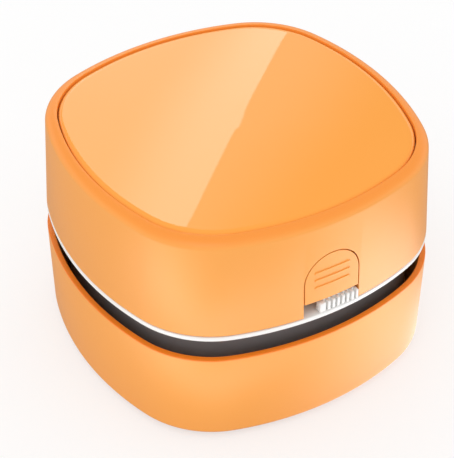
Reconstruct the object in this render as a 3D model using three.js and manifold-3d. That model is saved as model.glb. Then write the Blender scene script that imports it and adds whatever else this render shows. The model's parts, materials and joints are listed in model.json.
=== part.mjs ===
// Desktop mini vacuum cleaner: a square casing with bowed sides, split into a dust base and a head.
// Millimetres, +Z up. The switch faces -Y, and the origin is on the table under the middle.

import * as THREE from "three";
import { mergeVertices } from "three/addons/utils/BufferGeometryUtils.js";
import Module from "manifold-3d";

const wasm = await Module();
wasm.setup();

// Outline that every casing part shares: four bowed sides and four round corners
const sideRadiusShare = 1.76;
const cornerRadiusShare = 0.56;
const sideSteps = 6;
const cornerSteps = 5;

// Clearances
const fitGap = 0.3;
const runGap = 0.8;
const overrun = 1;

// Dust base: outer shell
const baseClearance = 1;
const baseHeight = 23.8;
const rimProud = 0.3;
const footDraft = 0.45;
const baseWall = 1.35;
const baseFloor = 1.6;
const baseEdgeRadius = 1.6;
const edgeSteps = 2;

// Dust base: recess for the brushes and the air inlet in its middle
const recessInset = 5.5;
const recessDepth = 3.6;
const recessWall = 1.5;
const inletRadius = 10;
const roundSides = 24;

// Dust base: screws and glide pads
const screwInset = 6.5;
const bossRadius = 3.4;
const bossSides = 10;
const screwHeadRadius = 2;
const screwHeadHeight = 1.3;
const screwShankRadius = 1;
const screwPoint = 0.8;
const screwSides = 8;
const baseScrewLength = 8;
const counterboreDepth = 3.4;
const padInset = 14.55;
const padRadius = 4.5;
const padHeight = 1.3;
const padRound = 0.4;
const padSides = 14;

// Brushes
const holderPlate = 1.3;
const holderBore = 10.6;
const pegRadius = 1.2;
const brushInset = 7;
const brushWidth = 3;
const brushArcDegrees = 58;
const brushArcSteps = 7;
const tuftProud = 0.4;
const bristleTipGap = 0.3;
const bristleRadius = 0.2;
const bristleTipShare = 0.75;
const bristleRoot = 0.3;
const bristleSplay = 0.35;
const bristleRows = 4;
const bristlesPerRow = 19;
const bristleSides = 3;
const brushCount = 4;

// Dust cup with the dark neck that shows between the halves
const neckInset = 3.7;
const cupWall = 1.4;
const cupFloor = 1.4;
const neckRise = 5.1;
const chimneyClearance = 1.9;
const chimneyWall = 1.6;
const cupPostRadius = 3;
const cupPostHeight = 5.5;

// Head: chassis with the white ring
const casingRoom = 12.2;
const ringThickness = 1.2;
const ringRound = 0.3;
const skirtGap = 1.2;
const skirtWall = 1.4;
const skirtDepth = 4.4;
const sealDepth = 0.6;
const sealReach = 0.9;
const sealHeight = 2;
const sealDrop = 1.5;
const housingLap = 2;
const wellWall = 1.4;
const wellDepth = 5.6;
const intakeRadius = 13;
const collarStep = 4;
const collarWall = 1.2;
const collarHeight = 3;
const guideHeight = 1.8;
const guideWall = 1.2;
const ventWidth = 1.5;
const ventLength = 16;
const ventSpacing = 20;
const ventsPerSide = 2;
const trayPostRadius = 2.5;
const trayPostInset = 10.2;
const trayPostY = 14;

// Head: filter under the fan
const filterFlangeReach = 3.7;
const filterFlangeHeight = 2.4;
const filterHeight = 7.6;
const filterFootInset = 2;
const filterFootHeight = 1.2;
const filterRibs = 6;
const filterRibWidth = 1.2;
const filterRibDepth = 1.4;
const meshWall = 0.9;
const filterSides = 20;

// Head: fan housing
const housingInset = 12.7;
const housingWall = 1.4;
const housingHeight = 4.7;
const housingTop = 1.2;
const housingWindows = 6;
const housingWindowDegrees = 38;
const housingWindowHeight = 2.6;
const windowSteps = 4;
const motorBossRadius = 3.2;
const earOverhang = 2.5;
const earRadius = 2.8;
const earThickness = 1.5;
const fanScrewLength = 6;

// Rotor
const shaftRadius = 1;
const hubRadius = 3.4;
const hubHeight = 6.4;
const hubNoseShare = 0.6;
const fanRoom = 5;
const bladeInnerRadius = 9.5;
const bladeHeight = 4.6;
const bladeThickness = 0.9;
const bladeCount = 9;
const bladeSweepDegrees = 48;
const bladeSteps = 4;
const backplate = 1;

// Motor
const motorRadius = 12.2;
const motorHeight = 12.3;
const motorRound = 0.8;
const motorCapHeight = 1.6;
const bearingRadius = 3;
const bearingHeight = 1.2;
const shaftProud = 1.5;
const terminalWidth = 2.2;
const terminalThickness = 0.4;
const terminalHeight = 2.2;
const terminalInset = 4.7;
const motorScrewInset = 4.2;
const motorScrewHead = 0.8;
const motorScrewLength = 3;
const motorSides = 24;

// Batteries, two of the common AA size
const batteryRadius = 7.25;
const batteryLength = 50.5;
const batteryNub = 1.2;
const batteryNubRadius = 2.7;
const batteryRound = 0.7;
const batteryGap = 0.55;
const batterySides = 18;

// Battery tray
const trayPlate = 1.2;
const trayMargin = 1.55;
const trayEndWall = 1.4;
const trayWallHeight = 10.5;
const saddleThickness = 1.4;
const saddleReach = 18;
const saddleHeight = 4.6;
const saddleInset = 0.6;
const springRoom = 4.3;
const mechanismRoom = 0.9;
const mechanismSetback = 1.3;
const trayEarRadius = 3;
const trayScrewLength = 5;

// Battery contacts
const plateThickness = 0.4;
const plateWidth = 10;
const plateHeight = 8.6;
const plateTabWidth = 2.4;
const plateTabHeight = 2.2;
const contactWire = 0.3;
const contactSpringWide = 4.2;
const contactSpringNarrow = 2;
const contactCurls = 3;
const curlSteps = 8;
const wireSides = 5;

// Cover: the upper shell and the glossy panel in its top
const topRoom = 1.6;
const coverDraft = 1.1;
const coverWall = 1.5;
const coverEdgeReach = 2.7;
const coverEdgeRadius = 2.15;
const panelThickness = 2.1;
const panelRound = 0.6;
const panelDome = 0.4;
const panelRings = 2;
const ledgeThickness = 1.5;
const ledgeReach = 2.6;
const notchHalf = 7.3;
const archSteps = 12;

// Release button that fills the notch above the switch
const tabGap = 0.3;
const tabRise = 3.7;
const flangeMargin = 1.2;
const flangeThickness = 1.2;
const pinRise = 5.1;
const pinInset = 4.25;
const pinRadius = 0.7;
const pinSides = 8;
const barrelRadius = 1.7;
const barrelSides = 12;
const lugThickness = 1.5;
const lugHalf = 1.5;
const tongueHalf = 4;
const tongueThickness = 1.4;
const tongueRootHeight = 4.4;
const noseDepth = 0.5;
const noseHeight = 1.2;
const latchDepth = 0.6;
const latchHeight = 1;
const latchDrop = 3.9;
const latchHalf = 5;
const gripBars = 3;
const gripHalf = 4.6;
const gripHeight = 0.7;
const gripPitch = 2;
const gripDepth = 0.25;
const gripRise = 0.4;

// Return spring of the button, and the bracket it pushes against
const returnWire = 0.225;
const returnRadius = 1.6;
const returnCurls = 4;
const returnRise = 1.7;
const bracketInset = 10.5;
const bracketHalf = 3.5;
const bracketThickness = 1.4;
const bracketMargin = 2;

// Slide switch
const knobEndPlay = 0.2;
const knobHead = 1.45;
const knobHeight = 2.5;
const knobDepth = 1.8;
const knobGrooves = 7;
const knobGrooveWidth = 0.6;
const knobGrooveDepth = 0.9;
const knobTravel = 3.6;
const stemWidth = 3;
const stemHeight = 1.2;
const stemBite = 1.1;
const caseHalf = 6.5;
const caseDepth = 3;
const caseHeight = 4;
const caseInset = 5.4;

// Finishes
const finishes = {
  orange: { color: "#fba04c", roughness: 0.38, metalness: 0 },
  glossyOrange: { color: "#fba552", roughness: 0.12, metalness: 0 },
  white: { color: "#f2f2f0", roughness: 0.4, metalness: 0 },
  smoke: { color: "#37383b", roughness: 0.15, metalness: 0 },
  black: { color: "#1d1d1f", roughness: 0.6, metalness: 0 },
  rubber: { color: "#4a4a4c", roughness: 0.9, metalness: 0 },
  mesh: { color: "#e6e4dc", roughness: 0.95, metalness: 0 },
  steel: { color: "#b9bcc0", roughness: 0.3, metalness: 1 },
  brass: { color: "#caa257", roughness: 0.35, metalness: 1 },
  battery: { color: "#2e6e4e", roughness: 0.35, metalness: 0.2 },
  bristle: { color: "#26262a", roughness: 0.7, metalness: 0 },
};

// Plan sizes that follow: the battery tray sets the casing, and the casing sets the rest
const batteryX = motorRadius + batteryGap + batteryRadius;
const trayHalfX = batteryX + batteryRadius + trayMargin;
const trayInnerY = batteryLength / 2 + springRoom / 2 + plateThickness + fitGap;
const trayOuterY = trayInnerY + trayEndWall;
const ringHalf = trayOuterY + casingRoom;
const coverTopHalf = ringHalf - coverDraft;
const seamHalf = coverTopHalf - coverEdgeReach;
const panelHalf = seamHalf - fitGap;
const baseRimHalf = ringHalf + rimProud;
const baseFootHalf = baseRimHalf - footDraft;
const neckHalf = ringHalf - neckInset;
const skirtHalf = neckHalf - cupWall - skirtGap;
const screwReach = neckHalf - screwInset;
const recessRadius = screwReach - recessInset;
const brushRadius = recessRadius - brushInset;
const padReach = baseFootHalf - padInset;
const trayPostX = ringHalf - trayPostInset;
const housingRadius = ringHalf - housingInset;
const earReach = housingRadius + earOverhang;
const wellRadius = housingRadius - housingLap;
const impellerRadius = wellRadius - fanRoom;
const collarRadius = intakeRadius + collarStep;
const filterSeatRadius = collarRadius + fitGap;
const filterFlangeRadius = filterSeatRadius + filterFlangeReach;
const filterFootRadius = collarRadius - filterFootInset;
const terminalReach = motorRadius - terminalInset;
const motorScrewReach = motorRadius - motorScrewInset;

// Widths at the front that follow: notch, tab flange, hinge and its pin, knob
const tabHalf = notchHalf - tabGap;
const flangeHalf = notchHalf + flangeMargin;
const barrelHalf = flangeHalf;
const lugNear = barrelHalf + fitGap;
const pinReach = lugNear + lugThickness;
const mechanismHalfX = pinReach + mechanismRoom;
const knobRoom = notchHalf - fitGap;
const knobLength = 2 * knobRoom - knobTravel - knobEndPlay;
const knobGroovePitch = (knobLength - knobHead) / knobGrooves;

// Heights that follow from the sizes above
const baseFloorTop = baseClearance + baseFloor;
const baseRimZ = baseClearance + baseHeight;
const recessTop = baseClearance + recessDepth;
const panTop = recessTop + recessWall;
const cupBottom = panTop + fitGap;
const cupFloorTop = cupBottom + cupFloor;
const neckTop = baseRimZ + neckRise;
const ringBottom = neckTop + fitGap;
const ringTop = ringBottom + ringThickness;
const wellFloorTop = ringTop - wellDepth;
const wellFloorBottom = wellFloorTop - wellWall;
const flangeTop = wellFloorBottom - fitGap;
const filterFootBottom = flangeTop - filterHeight;
const chimneyTop = filterFootBottom - chimneyClearance;
const housingBottom = ringTop + fitGap;
const housingTopZ = housingBottom + housingHeight;
const motorBottom = housingTopZ + fitGap;
const motorTop = motorBottom + motorHeight;
const trayBottom = housingTopZ + fitGap;
const trayTop = trayBottom + trayPlate;
const batteryZ = trayTop + fitGap + batteryRadius;
const shaftTop = motorTop + motorCapHeight + bearingHeight + shaftProud;
const coverBottom = ringTop + fitGap;
const panelBottom = Math.max(batteryZ + batteryRadius, shaftTop) + topRoom;
const coverTop = panelBottom + panelThickness;
const coverSideTop = coverTop - coverEdgeRadius;
const ledgeTop = panelBottom - fitGap;
const ledgeBottom = ledgeTop - ledgeThickness;
const impellerTop = wellFloorTop + runGap + bladeHeight + backplate;

// Places at the front that follow from the sizes above
const tabBottom = coverBottom + tabRise;
const latchZ = ledgeBottom - latchDrop;
const archCentreZ = latchZ - fitGap - flangeHalf;
const tongueRootTop = archCentreZ + notchHalf;
const tongueRootBottom = tongueRootTop - tongueRootHeight;
const pinZ = ringTop + pinRise + fitGap;
const pinY = -(ringHalf - pinInset);
const springZ = tongueRootBottom + returnRise;
const bracketY = -(ringHalf - bracketInset);
const bracketTop = springZ + bracketMargin;

const product = new THREE.Group();

// Half-width of the outer surface of the dust base at a height
function baseHalfAt(z) {
  const share = (z - baseClearance) / baseHeight;
  return baseFootHalf + (baseRimHalf - baseFootHalf) * share;
}

// Half-width of the outer surface of the cover at a height
function coverHalfAt(z) {
  const share = (z - coverBottom) / (coverSideTop - coverBottom);
  return ringHalf + (coverTopHalf - ringHalf) * share;
}

// One turn of the casing outline at a half-width, anticlockwise
function outlinePoints(half) {
  const sideRadius = half * sideRadiusShare;
  const cornerRadius = half * cornerRadiusShare;
  const sideCentre = half - sideRadius;
  const reach = sideRadius - cornerRadius;
  const cornerCentre = (sideCentre + Math.sqrt(2 * reach * reach - sideCentre * sideCentre)) / 2;
  const sideAngle = Math.atan2(cornerCentre, cornerCentre - sideCentre);
  const cornerAngle = Math.PI / 2 - 2 * sideAngle;
  const quarter = [];
  for (let i = 0; i < sideSteps; i += 1) {
    const angle = -sideAngle + (2 * sideAngle * i) / sideSteps;
    quarter.push(new THREE.Vector2(
      sideCentre + sideRadius * Math.cos(angle),
      sideRadius * Math.sin(angle),
    ));
  }
  for (let i = 0; i < cornerSteps; i += 1) {
    const angle = sideAngle + (cornerAngle * i) / cornerSteps;
    quarter.push(new THREE.Vector2(
      cornerCentre + cornerRadius * Math.cos(angle),
      cornerCentre + cornerRadius * Math.sin(angle),
    ));
  }
  const middle = new THREE.Vector2();
  const turn = [];
  for (let side = 0; side < 4; side += 1) {
    for (const point of quarter) {
      turn.push(point.clone().rotateAround(middle, (side * Math.PI) / 2));
    }
  }
  return turn;
}

// Geometry from rings of points; capped at both ends, or closed on itself
function skin(rings, closed) {
  const count = rings[0].length;
  const positions = rings.flat().flatMap((point) => [point.x, point.y, point.z]);
  const index = [];
  const spans = closed ? rings.length : rings.length - 1;
  for (let r = 0; r < spans; r += 1) {
    const low = r * count;
    const high = ((r + 1) % rings.length) * count;
    for (let i = 0; i < count; i += 1) {
      const next = (i + 1) % count;
      index.push(low + i, low + next, high + next, low + i, high + next, high + i);
    }
  }
  if (!closed) {
    const last = (rings.length - 1) * count;
    for (let i = 1; i < count - 1; i += 1) {
      index.push(0, i + 1, i, last, last + i, last + i + 1);
    }
  }
  const geometry = new THREE.BufferGeometry();
  geometry.setAttribute("position", new THREE.Float32BufferAttribute(positions, 3));
  geometry.setIndex(index);
  return geometry;
}

// The casing outline lofted through [half-width, height] pairs
function loftGeometry(profile, closed = false) {
  const rings = profile.map(([half, z]) => (
    outlinePoints(half).map((point) => new THREE.Vector3(point.x, point.y, z))
  ));
  return skin(rings, closed);
}

// A solid for joining and cutting, with its faces turned outwards
function solid(geometry) {
  const bare = new THREE.BufferGeometry();
  bare.setAttribute("position", geometry.getAttribute("position").clone());
  if (geometry.index) {
    bare.setIndex(geometry.index.clone());
  }
  const merged = mergeVertices(bare);
  const place = merged.getAttribute("position");
  const triangles = Array.from(merged.index.array);
  const [a, b, c] = [new THREE.Vector3(), new THREE.Vector3(), new THREE.Vector3()];
  let volume = 0;
  const kept = [];
  for (let i = 0; i < triangles.length; i += 3) {
    const corner = triangles.slice(i, i + 3);
    if (corner[0] === corner[1] || corner[1] === corner[2] || corner[2] === corner[0]) {
      continue;
    }
    kept.push(corner);
    a.fromBufferAttribute(place, corner[0]);
    b.fromBufferAttribute(place, corner[1]);
    c.fromBufferAttribute(place, corner[2]);
    volume += a.dot(b.cross(c));
  }
  const facing = volume < 0 ? kept.map((corner) => [corner[0], corner[2], corner[1]]) : kept;
  return new wasm.Manifold(new wasm.Mesh({
    numProp: 3,
    vertProperties: new Float32Array(place.array),
    triVerts: new Uint32Array(facing.flat()),
  }));
}

function joinAll(first, ...others) {
  return others.reduce((whole, other) => whole.add(other), first);
}

function cutAll(first, ...tools) {
  return tools.reduce((whole, tool) => whole.subtract(tool), first);
}

const loft = (profile, closed = false) => solid(loftGeometry(profile, closed));

// A wall that follows the casing outline between two half-widths
function outlineWall(outerHalf, innerHalf, lowZ, highZ) {
  return loft([[outerHalf, lowZ], [outerHalf, highZ], [innerHalf, highZ], [innerHalf, lowZ]], true);
}

function block(lowX, highX, lowY, highY, lowZ, highZ) {
  const geometry = new THREE.BoxGeometry(highX - lowX, highY - lowY, highZ - lowZ);
  geometry.translate((lowX + highX) / 2, (lowY + highY) / 2, (lowZ + highZ) / 2);
  return solid(geometry);
}

// A round bar along +Z
function rod(radius, lowZ, highZ, x = 0, y = 0, sides = roundSides) {
  const geometry = new THREE.CylinderGeometry(radius, radius, highZ - lowZ, sides);
  geometry.rotateX(Math.PI / 2);
  geometry.translate(x, y, (lowZ + highZ) / 2);
  return solid(geometry);
}

// A round bar along +X, centred on x = 0
function crossRod(radius, half, y, z, sides) {
  const geometry = new THREE.CylinderGeometry(radius, radius, 2 * half, sides);
  geometry.rotateZ(Math.PI / 2);
  geometry.translate(0, y, z);
  return solid(geometry);
}

// A turned piece about +Z from [radius, height] pairs, from axis to axis or closed on itself
function turned(profile, sides, x = 0, y = 0) {
  const points = profile.map(([radius, z]) => new THREE.Vector2(radius, z));
  const geometry = new THREE.LatheGeometry(points, sides);
  geometry.rotateX(Math.PI / 2);
  geometry.translate(x, y, 0);
  return solid(geometry);
}

function tube(outerRadius, innerRadius, lowZ, highZ, sides = roundSides) {
  const start = [outerRadius, lowZ];
  const closed = [start, [outerRadius, highZ], [innerRadius, highZ], [innerRadius, lowZ], start];
  return turned(closed, sides);
}

// A flat shape given in X and Y, raised from one height to another
function raised(shape, lowZ, highZ, steps = roundSides) {
  const geometry = new THREE.ExtrudeGeometry(shape, {
    depth: highZ - lowZ, bevelEnabled: false, curveSegments: steps,
  });
  geometry.translate(0, 0, lowZ);
  return solid(geometry);
}

// A flat shape given in X and Z, run through from one depth to another
function runThrough(shape, lowY, highY, steps = roundSides) {
  const geometry = new THREE.ExtrudeGeometry(shape, {
    depth: highY - lowY, bevelEnabled: false, curveSegments: steps,
  });
  geometry.rotateX(Math.PI / 2);
  geometry.translate(0, highY, 0);
  return solid(geometry);
}

// Places a share of a turn apart round +Z
function roundPlaces(count, reach, startAngle = 0) {
  return Array.from({ length: count }, (_, i) => {
    const angle = startAngle + (2 * Math.PI * i) / count;
    return [reach * Math.cos(angle), reach * Math.sin(angle)];
  });
}

function addMesh(name, manifold, finish) {
  const mesh = manifold.getMesh();
  const geometry = new THREE.BufferGeometry();
  const positions = new Float32Array(mesh.vertProperties);
  geometry.setAttribute("position", new THREE.BufferAttribute(positions, 3));
  geometry.setIndex(new THREE.BufferAttribute(new Uint32Array(mesh.triVerts), 1));
  geometry.computeVertexNormals();
  const piece = new THREE.Mesh(geometry, new THREE.MeshStandardMaterial(finishes[finish]));
  piece.name = name;
  product.add(piece);
  return piece;
}

// Clearance hole for a screw's shank
function screwHole(lowZ, highZ, x, y) {
  return rod(screwShankRadius + fitGap, lowZ, highZ, x, y, screwSides);
}

// A pan-head screw standing on its head at a height, shank up or down
function screw(headZ, length, x, y, up = true, headHeight = screwHeadHeight) {
  const way = up ? 1 : -1;
  const profile = [
    [0, headZ],
    [screwHeadRadius, headZ],
    [screwHeadRadius, headZ + way * headHeight],
    [screwShankRadius, headZ + way * headHeight],
    [screwShankRadius, headZ + way * (headHeight + length - screwPoint)],
    [0, headZ + way * (headHeight + length)],
  ];
  return turned(profile, screwSides, x, y);
}

// Wire of a coil whose axis is +Z: its centre line, then the swept solid
function coilPoints(startRadius, endRadius, length, curls) {
  const steps = curls * curlSteps;
  return Array.from({ length: steps + 1 }, (_, i) => {
    const share = i / steps;
    const radius = startRadius + (endRadius - startRadius) * share;
    const angle = 2 * Math.PI * curls * share;
    return new THREE.Vector3(radius * Math.cos(angle), radius * Math.sin(angle), length * share);
  });
}

function coilGeometry(points, wireRadius) {
  const rings = points.map((point, i) => {
    const before = points[Math.max(i - 1, 0)];
    const after = points[Math.min(i + 1, points.length - 1)];
    const along = after.clone().sub(before).normalize();
    const out = new THREE.Vector3(point.x, point.y, 0).normalize();
    const up = along.clone().cross(out).normalize();
    const side = up.clone().cross(along).normalize();
    return Array.from({ length: wireSides }, (_, k) => {
      const angle = (2 * Math.PI * k) / wireSides;
      return point.clone()
        .addScaledVector(side, wireRadius * Math.cos(angle))
        .addScaledVector(up, wireRadius * Math.sin(angle));
    });
  });
  return skin(rings, false);
}

// Smallest clear gap between curls that aren't neighbours along the wire
function leastGap(points, wireRadius) {
  let least = Infinity;
  for (let i = 0; i < points.length; i += 1) {
    for (let j = i + curlSteps / 2 + 1; j < points.length; j += 1) {
      least = Math.min(least, points[i].distanceTo(points[j]));
    }
  }
  return least - 2 * wireRadius;
}

function coil(name, startRadius, endRadius, length, curls, wireRadius) {
  const points = coilPoints(startRadius, endRadius, length, curls);
  console.log(`${name}: least gap ${leastGap(points, wireRadius).toFixed(2)} mm`);
  return coilGeometry(points, wireRadius);
}

// Dust base

function addBaseShell() {
  const edgeCentreHalf = baseFootHalf - baseEdgeRadius;
  const edge = Array.from({ length: edgeSteps + 1 }, (_, i) => {
    const angle = (Math.PI / 2) * (i / edgeSteps - 1);
    return [
      edgeCentreHalf + baseEdgeRadius * Math.cos(angle),
      baseClearance + baseEdgeRadius + baseEdgeRadius * Math.sin(angle),
    ];
  });
  const outside = loft([...edge, [baseRimHalf, baseRimZ]]);
  const inside = loft([
    [baseHalfAt(baseFloorTop) - baseWall, baseFloorTop],
    [baseHalfAt(baseRimZ) - baseWall, baseRimZ],
    [baseHalfAt(baseRimZ) - baseWall, baseRimZ + overrun],
  ]);
  const floorMiddle = baseClearance + baseFloor / 2;
  let shell = cutAll(outside, inside);
  shell = joinAll(shell, rod(recessRadius + recessWall, floorMiddle, panTop));
  for (const [x, y] of roundPlaces(4, screwReach)) {
    shell = joinAll(shell, rod(bossRadius, floorMiddle, panTop, x, y));
  }
  shell = cutAll(
    shell,
    rod(recessRadius, baseClearance - overrun, recessTop),
    rod(inletRadius, baseClearance, panTop + overrun),
  );
  for (const [x, y] of roundPlaces(4, screwReach)) {
    const bore = screwHeadRadius + fitGap;
    shell = cutAll(
      shell,
      rod(bore, baseClearance - overrun, baseClearance + counterboreDepth, x, y, bossSides),
      screwHole(baseClearance, panTop + overrun, x, y),
    );
  }
  for (const [x, y] of roundPlaces(4, brushRadius, Math.PI / 4)) {
    const hole = rod(pegRadius + fitGap, recessTop - overrun, panTop + overrun, x, y, pinSides);
    shell = cutAll(shell, hole);
  }
  const pocketTop = padHeight + fitGap;
  for (const [x, y] of roundPlaces(4, padReach * Math.SQRT2, Math.PI / 4)) {
    const pocket = rod(padRadius + fitGap, baseClearance - overrun, pocketTop, x, y, padSides);
    shell = cutAll(shell, pocket);
  }
  addMesh("base_shell", shell, "orange");
}

function addGlidePads() {
  roundPlaces(4, padReach * Math.SQRT2, Math.PI / 4).forEach(([x, y], i) => {
    const pad = turned([
      [0, 0], [padRadius - padRound, 0], [padRadius, padRound], [padRadius, padHeight], [0, padHeight],
    ], padSides, x, y);
    addMesh(`glide_pad_${i + 1}`, pad, "rubber");
  });
}

function addBaseScrews() {
  const headZ = baseClearance + counterboreDepth - fitGap - screwHeadHeight;
  roundPlaces(4, screwReach).forEach(([x, y], i) => {
    addMesh(`base_screw_${i + 1}`, screw(headZ, baseScrewLength, x, y), "steel");
  });
}

// Sector of a ring in the plan, centred on an angle
function arcBar(radius, width, degrees, middleAngle) {
  const half = THREE.MathUtils.degToRad(degrees) / 2;
  const bar = new THREE.Shape();
  bar.absarc(0, 0, radius + width / 2, middleAngle - half, middleAngle + half, false);
  bar.absarc(0, 0, radius - width / 2, middleAngle + half, middleAngle - half, true);
  return bar;
}

function brushAngle(index) {
  return (2 * Math.PI * index) / brushCount;
}

function addBrushHolder() {
  const top = recessTop - fitGap;
  const bottom = top - holderPlate;
  let holder = tube(recessRadius - fitGap, holderBore, bottom, top);
  for (const [x, y] of roundPlaces(4, brushRadius, Math.PI / 4)) {
    holder = joinAll(holder, rod(pegRadius, bottom + holderPlate / 2, panTop, x, y, pinSides));
  }
  const endGapDegrees = THREE.MathUtils.radToDeg(fitGap / brushRadius);
  for (let i = 0; i < brushCount; i += 1) {
    const [width, degrees] = [brushWidth + 2 * fitGap, brushArcDegrees + 2 * endGapDegrees];
    const slot = arcBar(brushRadius, width, degrees, brushAngle(i));
    holder = cutAll(holder, raised(slot, bottom - overrun, top + overrun, brushArcSteps));
  }
  addMesh("brush_holder", holder, "black");
}

// One strand: a slim tapered spike whose root lies in the bar
function bristle(rootX, rootY, rootZ, tipX, tipY, tipZ) {
  const ring = (x, y, z, radius) => Array.from({ length: bristleSides }, (_, k) => {
    const angle = (2 * Math.PI * k) / bristleSides;
    return new THREE.Vector3(x + radius * Math.cos(angle), y + radius * Math.sin(angle), z);
  });
  return solid(skin([
    ring(rootX, rootY, rootZ, bristleRadius),
    ring(tipX, tipY, tipZ, bristleRadius * bristleTipShare),
  ], false));
}

function addBristleStrips() {
  const top = recessTop - fitGap;
  const bottom = top - holderPlate - tuftProud;
  const rowPitch = (brushWidth - 4 * bristleRadius) / (bristleRows - 1);
  const arc = THREE.MathUtils.degToRad(brushArcDegrees);
  for (let i = 0; i < brushCount; i += 1) {
    const backing = arcBar(brushRadius, brushWidth, brushArcDegrees, brushAngle(i));
    const strands = [];
    for (let row = 0; row < bristleRows; row += 1) {
      const radius = brushRadius + (row - (bristleRows - 1) / 2) * rowPitch;
      const splay = (radius - brushRadius) * bristleSplay;
      for (let k = 0; k < bristlesPerRow; k += 1) {
        const stagger = row % 2 ? 1 / 4 : -1 / 4;
        const angle = brushAngle(i) + arc * ((k + 1 / 2 + stagger) / bristlesPerRow - 1 / 2);
        const [cos, sin] = [Math.cos(angle), Math.sin(angle)];
        strands.push(bristle(
          radius * cos, radius * sin, bottom + bristleRoot,
          (radius + splay) * cos, (radius + splay) * sin, bristleTipGap,
        ));
      }
    }
    const strip = joinAll(raised(backing, bottom, top, brushArcSteps), ...strands);
    addMesh(`bristle_strip_${i + 1}`, strip, "bristle");
  }
}

function addDustCup() {
  const outside = loft([[neckHalf, cupBottom], [neckHalf, neckTop]]);
  const inside = loft([[neckHalf - cupWall, cupFloorTop], [neckHalf - cupWall, neckTop + overrun]]);
  const floorMiddle = cupBottom + cupFloor / 2;
  let cup = cutAll(outside, inside);
  cup = joinAll(cup, rod(inletRadius + chimneyWall, floorMiddle, chimneyTop));
  for (const [x, y] of roundPlaces(4, screwReach)) {
    const postTop = cupFloorTop + cupPostHeight;
    cup = joinAll(cup, rod(cupPostRadius, floorMiddle, postTop, x, y, bossSides));
  }
  cup = cutAll(cup, rod(inletRadius, cupBottom - overrun, chimneyTop + overrun));
  const pilotTop = baseClearance + counterboreDepth + baseScrewLength;
  for (const [x, y] of roundPlaces(4, screwReach)) {
    cup = cutAll(cup, screwHole(cupBottom - overrun, pilotTop, x, y));
  }
  addMesh("dust_cup", cup, "smoke");
}

// Head: what stays on the chassis

// Exhaust slots in the ring's overhang, on the back and both sides
function ventTools() {
  const outerHalf = ringHalf - coverWall - fitGap / 2;
  const innerHalf = outerHalf - ventWidth;
  const [bandBottom, bandTop] = [ringBottom - overrun, ringTop + guideHeight + overrun];
  const band = outlineWall(outerHalf, innerHalf, bandBottom, bandTop);
  const tools = [];
  for (let i = 0; i < ventsPerSide; i += 1) {
    const middle = (i - (ventsPerSide - 1) / 2) * ventSpacing;
    const [low, high] = [middle - ventLength / 2, middle + ventLength / 2];
    const [bottom, top] = [bandBottom - overrun, bandTop + overrun];
    tools.push(block(low, high, 0, ringHalf, bottom, top).intersect(band));
    tools.push(block(0, ringHalf, low, high, bottom, top).intersect(band));
    tools.push(block(-ringHalf, 0, low, high, bottom, top).intersect(band));
  }
  return tools;
}

function spreadPlaces(reachX, reachY) {
  return [[reachX, reachY], [-reachX, reachY], [-reachX, -reachY], [reachX, -reachY]];
}

function addChassis() {
  const skirtBottom = ringBottom - skirtDepth;
  const inRing = ringThickness / 2;
  let chassis = loft([
    [ringHalf - ringRound, ringBottom],
    [ringHalf, ringBottom + ringRound],
    [ringHalf, ringTop - ringRound],
    [ringHalf - ringRound, ringTop],
  ]);
  chassis = joinAll(
    chassis,
    outlineWall(skirtHalf, skirtHalf - skirtWall, skirtBottom, ringBottom + inRing),
    rod(wellRadius + wellWall, wellFloorBottom, ringBottom + inRing),
    rod(collarRadius, wellFloorBottom - collarHeight, wellFloorBottom + wellWall / 2),
  );
  const guideHalf = ringHalf - coverWall - fitGap;
  const guideTop = ringTop + guideHeight;
  const guide = outlineWall(guideHalf, guideHalf - guideWall, ringTop - inRing, guideTop);
  const gateHalf = pinReach + fitGap;
  const gateBack = -(guideHalf - 2 * guideWall);
  const frontGate = block(-gateHalf, gateHalf, -ringHalf, gateBack, ringTop, guideTop + overrun);
  chassis = joinAll(chassis, cutAll(guide, frontGate));
  chassis = cutAll(
    chassis,
    rod(wellRadius, wellFloorTop, ringTop + overrun),
    rod(intakeRadius, wellFloorBottom - overrun, wellFloorTop + overrun),
    rod(collarRadius - collarWall, wellFloorBottom - collarHeight - overrun, wellFloorBottom),
  );
  const sealTop = ringBottom - sealDrop;
  const grooveTop = sealTop + fitGap;
  const grooveBottom = sealTop - sealHeight - fitGap;
  const grooveInner = skirtHalf - sealDepth;
  const groove = outlineWall(skirtHalf + overrun, grooveInner, grooveBottom, grooveTop);
  chassis = cutAll(chassis, groove);
  for (const [x, y] of spreadPlaces(trayPostX, trayPostY)) {
    const postTop = trayBottom - fitGap;
    chassis = joinAll(chassis, rod(trayPostRadius, ringTop - inRing, postTop, x, y, bossSides));
    chassis = cutAll(chassis, screwHole(ringTop, trayTop, x, y));
  }
  for (const [x, y] of roundPlaces(4, earReach, Math.PI / 4)) {
    chassis = joinAll(chassis, rod(trayPostRadius, skirtBottom, ringBottom + inRing, x, y, bossSides));
    chassis = cutAll(chassis, screwHole(ringTop - fanScrewLength, ringTop + overrun, x, y));
  }
  for (const [lowX, highX] of [[-pinReach, -lugNear], [lugNear, pinReach]]) {
    const [front, back] = [pinY - lugHalf, pinY + lugHalf];
    chassis = joinAll(chassis, block(lowX, highX, front, back, ringTop - inRing, pinZ + lugHalf));
  }
  const pinBore = crossRod(pinRadius + fitGap, pinReach + overrun, pinY, pinZ, barrelSides);
  chassis = cutAll(chassis, pinBore);
  const bracketBack = bracketY + bracketThickness;
  const bracketFoot = ringTop - inRing;
  const bracket = block(-bracketHalf, bracketHalf, bracketY, bracketBack, bracketFoot, bracketTop);
  chassis = joinAll(chassis, bracket);
  addMesh("chassis", cutAll(chassis, ...ventTools()), "white");
}

function addNeckSeal() {
  const inner = skirtHalf - sealDepth + fitGap;
  const top = ringBottom - sealDrop;
  const bottom = top - sealHeight;
  const outer = inner + sealReach;
  addMesh("neck_seal", outlineWall(outer, inner, bottom, top), "rubber");
}

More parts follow.
